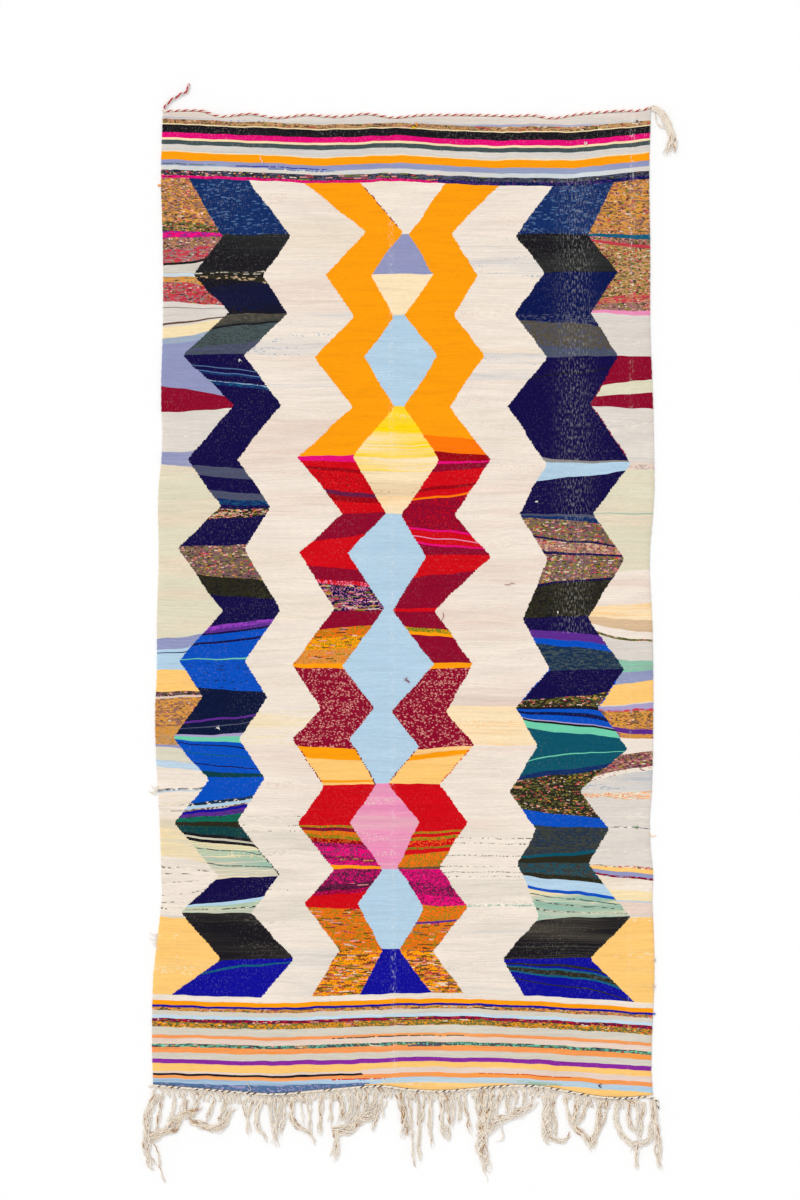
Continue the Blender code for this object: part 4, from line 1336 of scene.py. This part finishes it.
def lay_bundle(yarns, bundle, soil_and_shade):
    """The warps of a bundle spread at its root, weave across it and end unevenly."""
    chance = yarns.chance
    base = smooth_route([(x * MM, y * MM) for x, y in bundle.route], FRINGE_STEP)
    ahead = directions(base)
    across = np.stack([-ahead[:, 1], ahead[:, 0]], -1)
    walked = distances(base)
    t = walked / walked[-1]
    width = bundle.spread * LOOSENESS * MM
    count = max(bundle.yarns + 1, round(bundle.yarns * FULLNESS))
    for k in range(count):
        place = (k + 0.5) / count * 2 - 1
        gather = 1 - 0.45 * np.sin(np.pi * np.clip(t, 0, 1))
        offset = place * width * gather
        for size, height in ((0.085, 0.55 * width + 0.0015), (0.034, 0.0018)):
            start, pace = chance.uniform(0, 7), 2 * math.pi / (size * chance.uniform(0.7, 1.5))
            offset = offset + height * np.sin(pace * walked + start) * np.minimum(1, 4 * t)
        spot = base + across * offset[:, None]
        height = 0.0030 + 0.0034 * chance.random() + 0.0012 * np.sin(walked * 150 + k * 2.1)
        path = np.column_stack([spot, height])
        keep = max(4, int(len(path) * chance.uniform(0.72, 1.0)))
        # Some warps take the tan yarn: soiled warps, and in the fringe also painted shade between
        # the strands
        tone = 1 if chance.random() < soil_and_shade else 0
        radius = WARP_RADIUS * chance.uniform(0.7, 1.25)
        yarns.tube(path[:keep], radius, tone, THIN_SIDES, taper=0.10)


def make_fringe(cream, soil_and_shade):
    yarns = Yarns("warp_ends", 21)
    for bundle in FRINGE:
        # About a fifth of the fringe's warps are tan: soiling, with more of them as painted shade
        # between strands
        lay_bundle(yarns, bundle, 0.22)
    knot_row(yarns)
    return yarns.make([cream, soil_and_shade])


def knot_row(yarns):
    """Warps slant from the lower cord and cross, in threes that are knotted unevenly deep."""
    line = np.array(cad_centreline("end_twining", -0.765, 0.742))
    chance = yarns.chance
    for x in np.arange(line[0, 0] + 0.010, line[-1, 0] - 0.016, KNOT_SPACING):
        x += chance.uniform(-0.002, 0.002)
        y = np.interp(x, line[:, 0], line[:, 1]) - 0.002
        lean = chance.choice((0.012, 0.010, -0.010)) + chance.uniform(-0.004, 0.004)
        depth = KNOT_ROW_DEPTH * chance.uniform(0.55, 1.0)
        for k, shift in enumerate((-0.004, 0.0, 0.0045)):
            route = [
                (x + shift, y, 0.0036),
                (x + shift + lean * 0.3, y - depth * 0.35, 0.0052 - k * 0.0012),
                (x + lean, y - depth * 0.8, 0.0042),
                (x + lean - shift, y - depth * 1.25, 0.0034),
            ]
            tone = 1 if chance.random() < 0.14 else 0
            yarns.tube(smooth_route(route, 0.0055), WARP_RADIUS, tone, THIN_SIDES, taper=0.1)
        tie_knot(yarns, x + lean - 0.001, y - depth * 0.84, 0.0040, chance.uniform(0.0022, 0.0030))


def tie_knot(yarns, x, y, z, size, material=0):
    turns = np.linspace(0, 2.6 * math.pi, 13)
    rise = (turns / turns[-1] - 0.5) * 0.005
    path = np.column_stack([x + size * np.cos(turns), y + rise, z + size * 0.55 * np.sin(turns)])
    yarns.tube(path, KNOT_YARN_RADIUS, material, THIN_SIDES)


def make_tassel(cream, soil_and_shade):
    yarns = Yarns("corner_tassel", 31)
    for bundle in TASSEL:
        lay_bundle(yarns, bundle, 0.12)
    tie_knot(yarns, 0.741, 1.4765, 0.0045, 0.0042, 1)
    return yarns.make([cream, soil_and_shade])


# ---------------------------------------------------------------- loose ends on the cloth

# Tufts, knots and stray threads, in millimetres: where, what yarn, how long and which way
Stray = namedtuple("Stray", "x y yarn length heading")
STRAYS = [
    Stray(-432, 1306, "white", 26, 95), Stray(33, 1419, "orange", 13, 100),
    Stray(30, 1416, "yellow", 12, 200), Stray(537, 1361, "white", 14, 80),
    Stray(296, 46, "crimson", 31, 3), Stray(111, -38, "crimson", 24, 265),
    Stray(-501, 714, "white", 10, 60), Stray(-558, -388, "white", 13, 120),
    Stray(387, 294, "white", 9, 30), Stray(456, -42, "white", 9, 80),
    Stray(10, -249, "crimson", 20, 130), Stray(691, 1432, "dark_olive", 8, 75),
    Stray(585, -1461, "indigo", 12, 140), Stray(684, -681, "green", 13, 15),
    Stray(-733, 1243, "orange", 12, 170), Stray(-741, -563, "ecru", 34, 216),
    Stray(-742, -566, "ecru", 27, 232), Stray(-740, -560, "ecru", 25, 205),
    Stray(-745, -1006, "cream", 50, 222), Stray(-744, -1003, "ecru", 30, 203),
    Stray(-744, -1009, "cream", 38, 234), Stray(-743, -1001, "ecru", 26, 190),
    Stray(726, -698, "peach", 26, -55),
    Stray(738, -1080, "ecru", 13, 15), Stray(738, -1155, "ecru", 13, -35),
    Stray(737, -1240, "royal", 12, -15), Stray(-478, -1440, "ecru", 45, 262),
]
LONG_STRAY = 24
STRAY_RADIUS = 0.0009


def make_strays():
    yarns = Yarns("stray_ends", 41)
    names = sorted({stray.yarn for stray in STRAYS})
    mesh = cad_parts["woven_body"].data
    corners = [vertex.co.copy() for vertex in mesh.vertices]
    tree = BVHTree.FromPolygons(corners, [tuple(face.vertices) for face in mesh.polygons])
    for stray in STRAYS:
        # A short stray is a tuft of three threads, and a long one is a single thread
        for _ in range(3 if stray.length < LONG_STRAY else 1):
            angle = math.radians(stray.heading + yarns.chance.uniform(-28, 28))
            route = []
            for t in (0.0, 0.35, 0.7, 1.0):
                bend = math.radians(35 * t * yarns.chance.uniform(-1, 1))
                x = (stray.x + stray.length * t * math.cos(angle + bend)) * MM
                y = (stray.y + stray.length * t * math.sin(angle + bend)) * MM
                hit = tree.ray_cast(Vector((x, y, 0.05)), Vector((0, 0, -1)))[0]
                ground = hit.z if hit else 0.0
                route.append((x, y, ground + 0.0012 + 0.003 * math.sin(math.pi * t)))
            path = smooth_route(route, 0.003)
            yarns.tube(path, STRAY_RADIUS, names.index(stray.yarn), THIN_SIDES, taper=0.2)
    return yarns.make([yarn_material("stray_" + n, n, n, 0.0) for n in names])


# ---------------------------------------------------------------- floor and assembly


def make_floor():
    mesh = bpy.data.meshes.new("floor")
    size = 12.0
    corners = [(-size, -size, 0.0), (size, -size, 0.0), (size, size, 0.0), (-size, size, 0.0)]
    mesh.from_pydata(corners, [], [(0, 1, 2, 3)])
    graph = Graph("floor")
    graph.shader.inputs["Base Color"].default_value = (0.96, 0.96, 0.96, 1.0)
    graph.shader.inputs["Roughness"].default_value = 0.9
    graph.shader.inputs["Specular IOR Level"].default_value = 0.1
    mesh.materials.append(graph.material)
    floor = bpy.data.objects.new("floor", mesh)
    floor.location.z = -0.0002
    bpy.context.scene.collection.objects.link(floor)


def main():
    make_camera()
    red_ply = yarn_material("heading_red", "cord_red", "brick", 0.35)
    pale_ply = yarn_material("heading_pale", "warp", "blush", 0.45)
    tail_ply = yarn_material("tail_pale", "oatmeal", "brick", 0.25)
    tail, tail_path = make_left_corner_tail(red_ply, tail_ply)
    tail_length()
    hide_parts("left_corner_tail")

    make_lights()
    make_floor()
    heading = make_heading_cord(red_ply, pale_ply)
    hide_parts("heading_cord")
    dark_ply = yarn_material("lower_dark", "ecru", "indigo", 0.50)
    lower = make_lower_cord(dark_ply, yarn_material("lower_pale", "warp", "lemon_cream", 0.4))
    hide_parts("end_twining")
    cream = yarn_material("warp_cream", "warp", "cream", 0.40)
    # The tan warp yarn is soiling, and also painted shade between the fringe's strands
    soil_and_shade = yarn_material("warp_soil_and_shade", "ecru", "tan", 0.45)
    fringe = make_fringe(cream, soil_and_shade)
    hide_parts("warp_fringe")
    tassel = make_tassel(cream, soil_and_shade)
    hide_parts("right_corner_tassel")
    cloth = make_cloth(weave_material())
    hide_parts("woven_body")
    strays = make_strays()
    slots = {
        cloth: "rag_weave", strays: "rag_weave", heading: "heading_yarn", tail: "heading_yarn",
        lower: "twining_yarn", fringe: "warp_yarn", tassel: "warp_yarn",
    }
    for piece, slot in slots.items():
        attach(piece, "root")


main()
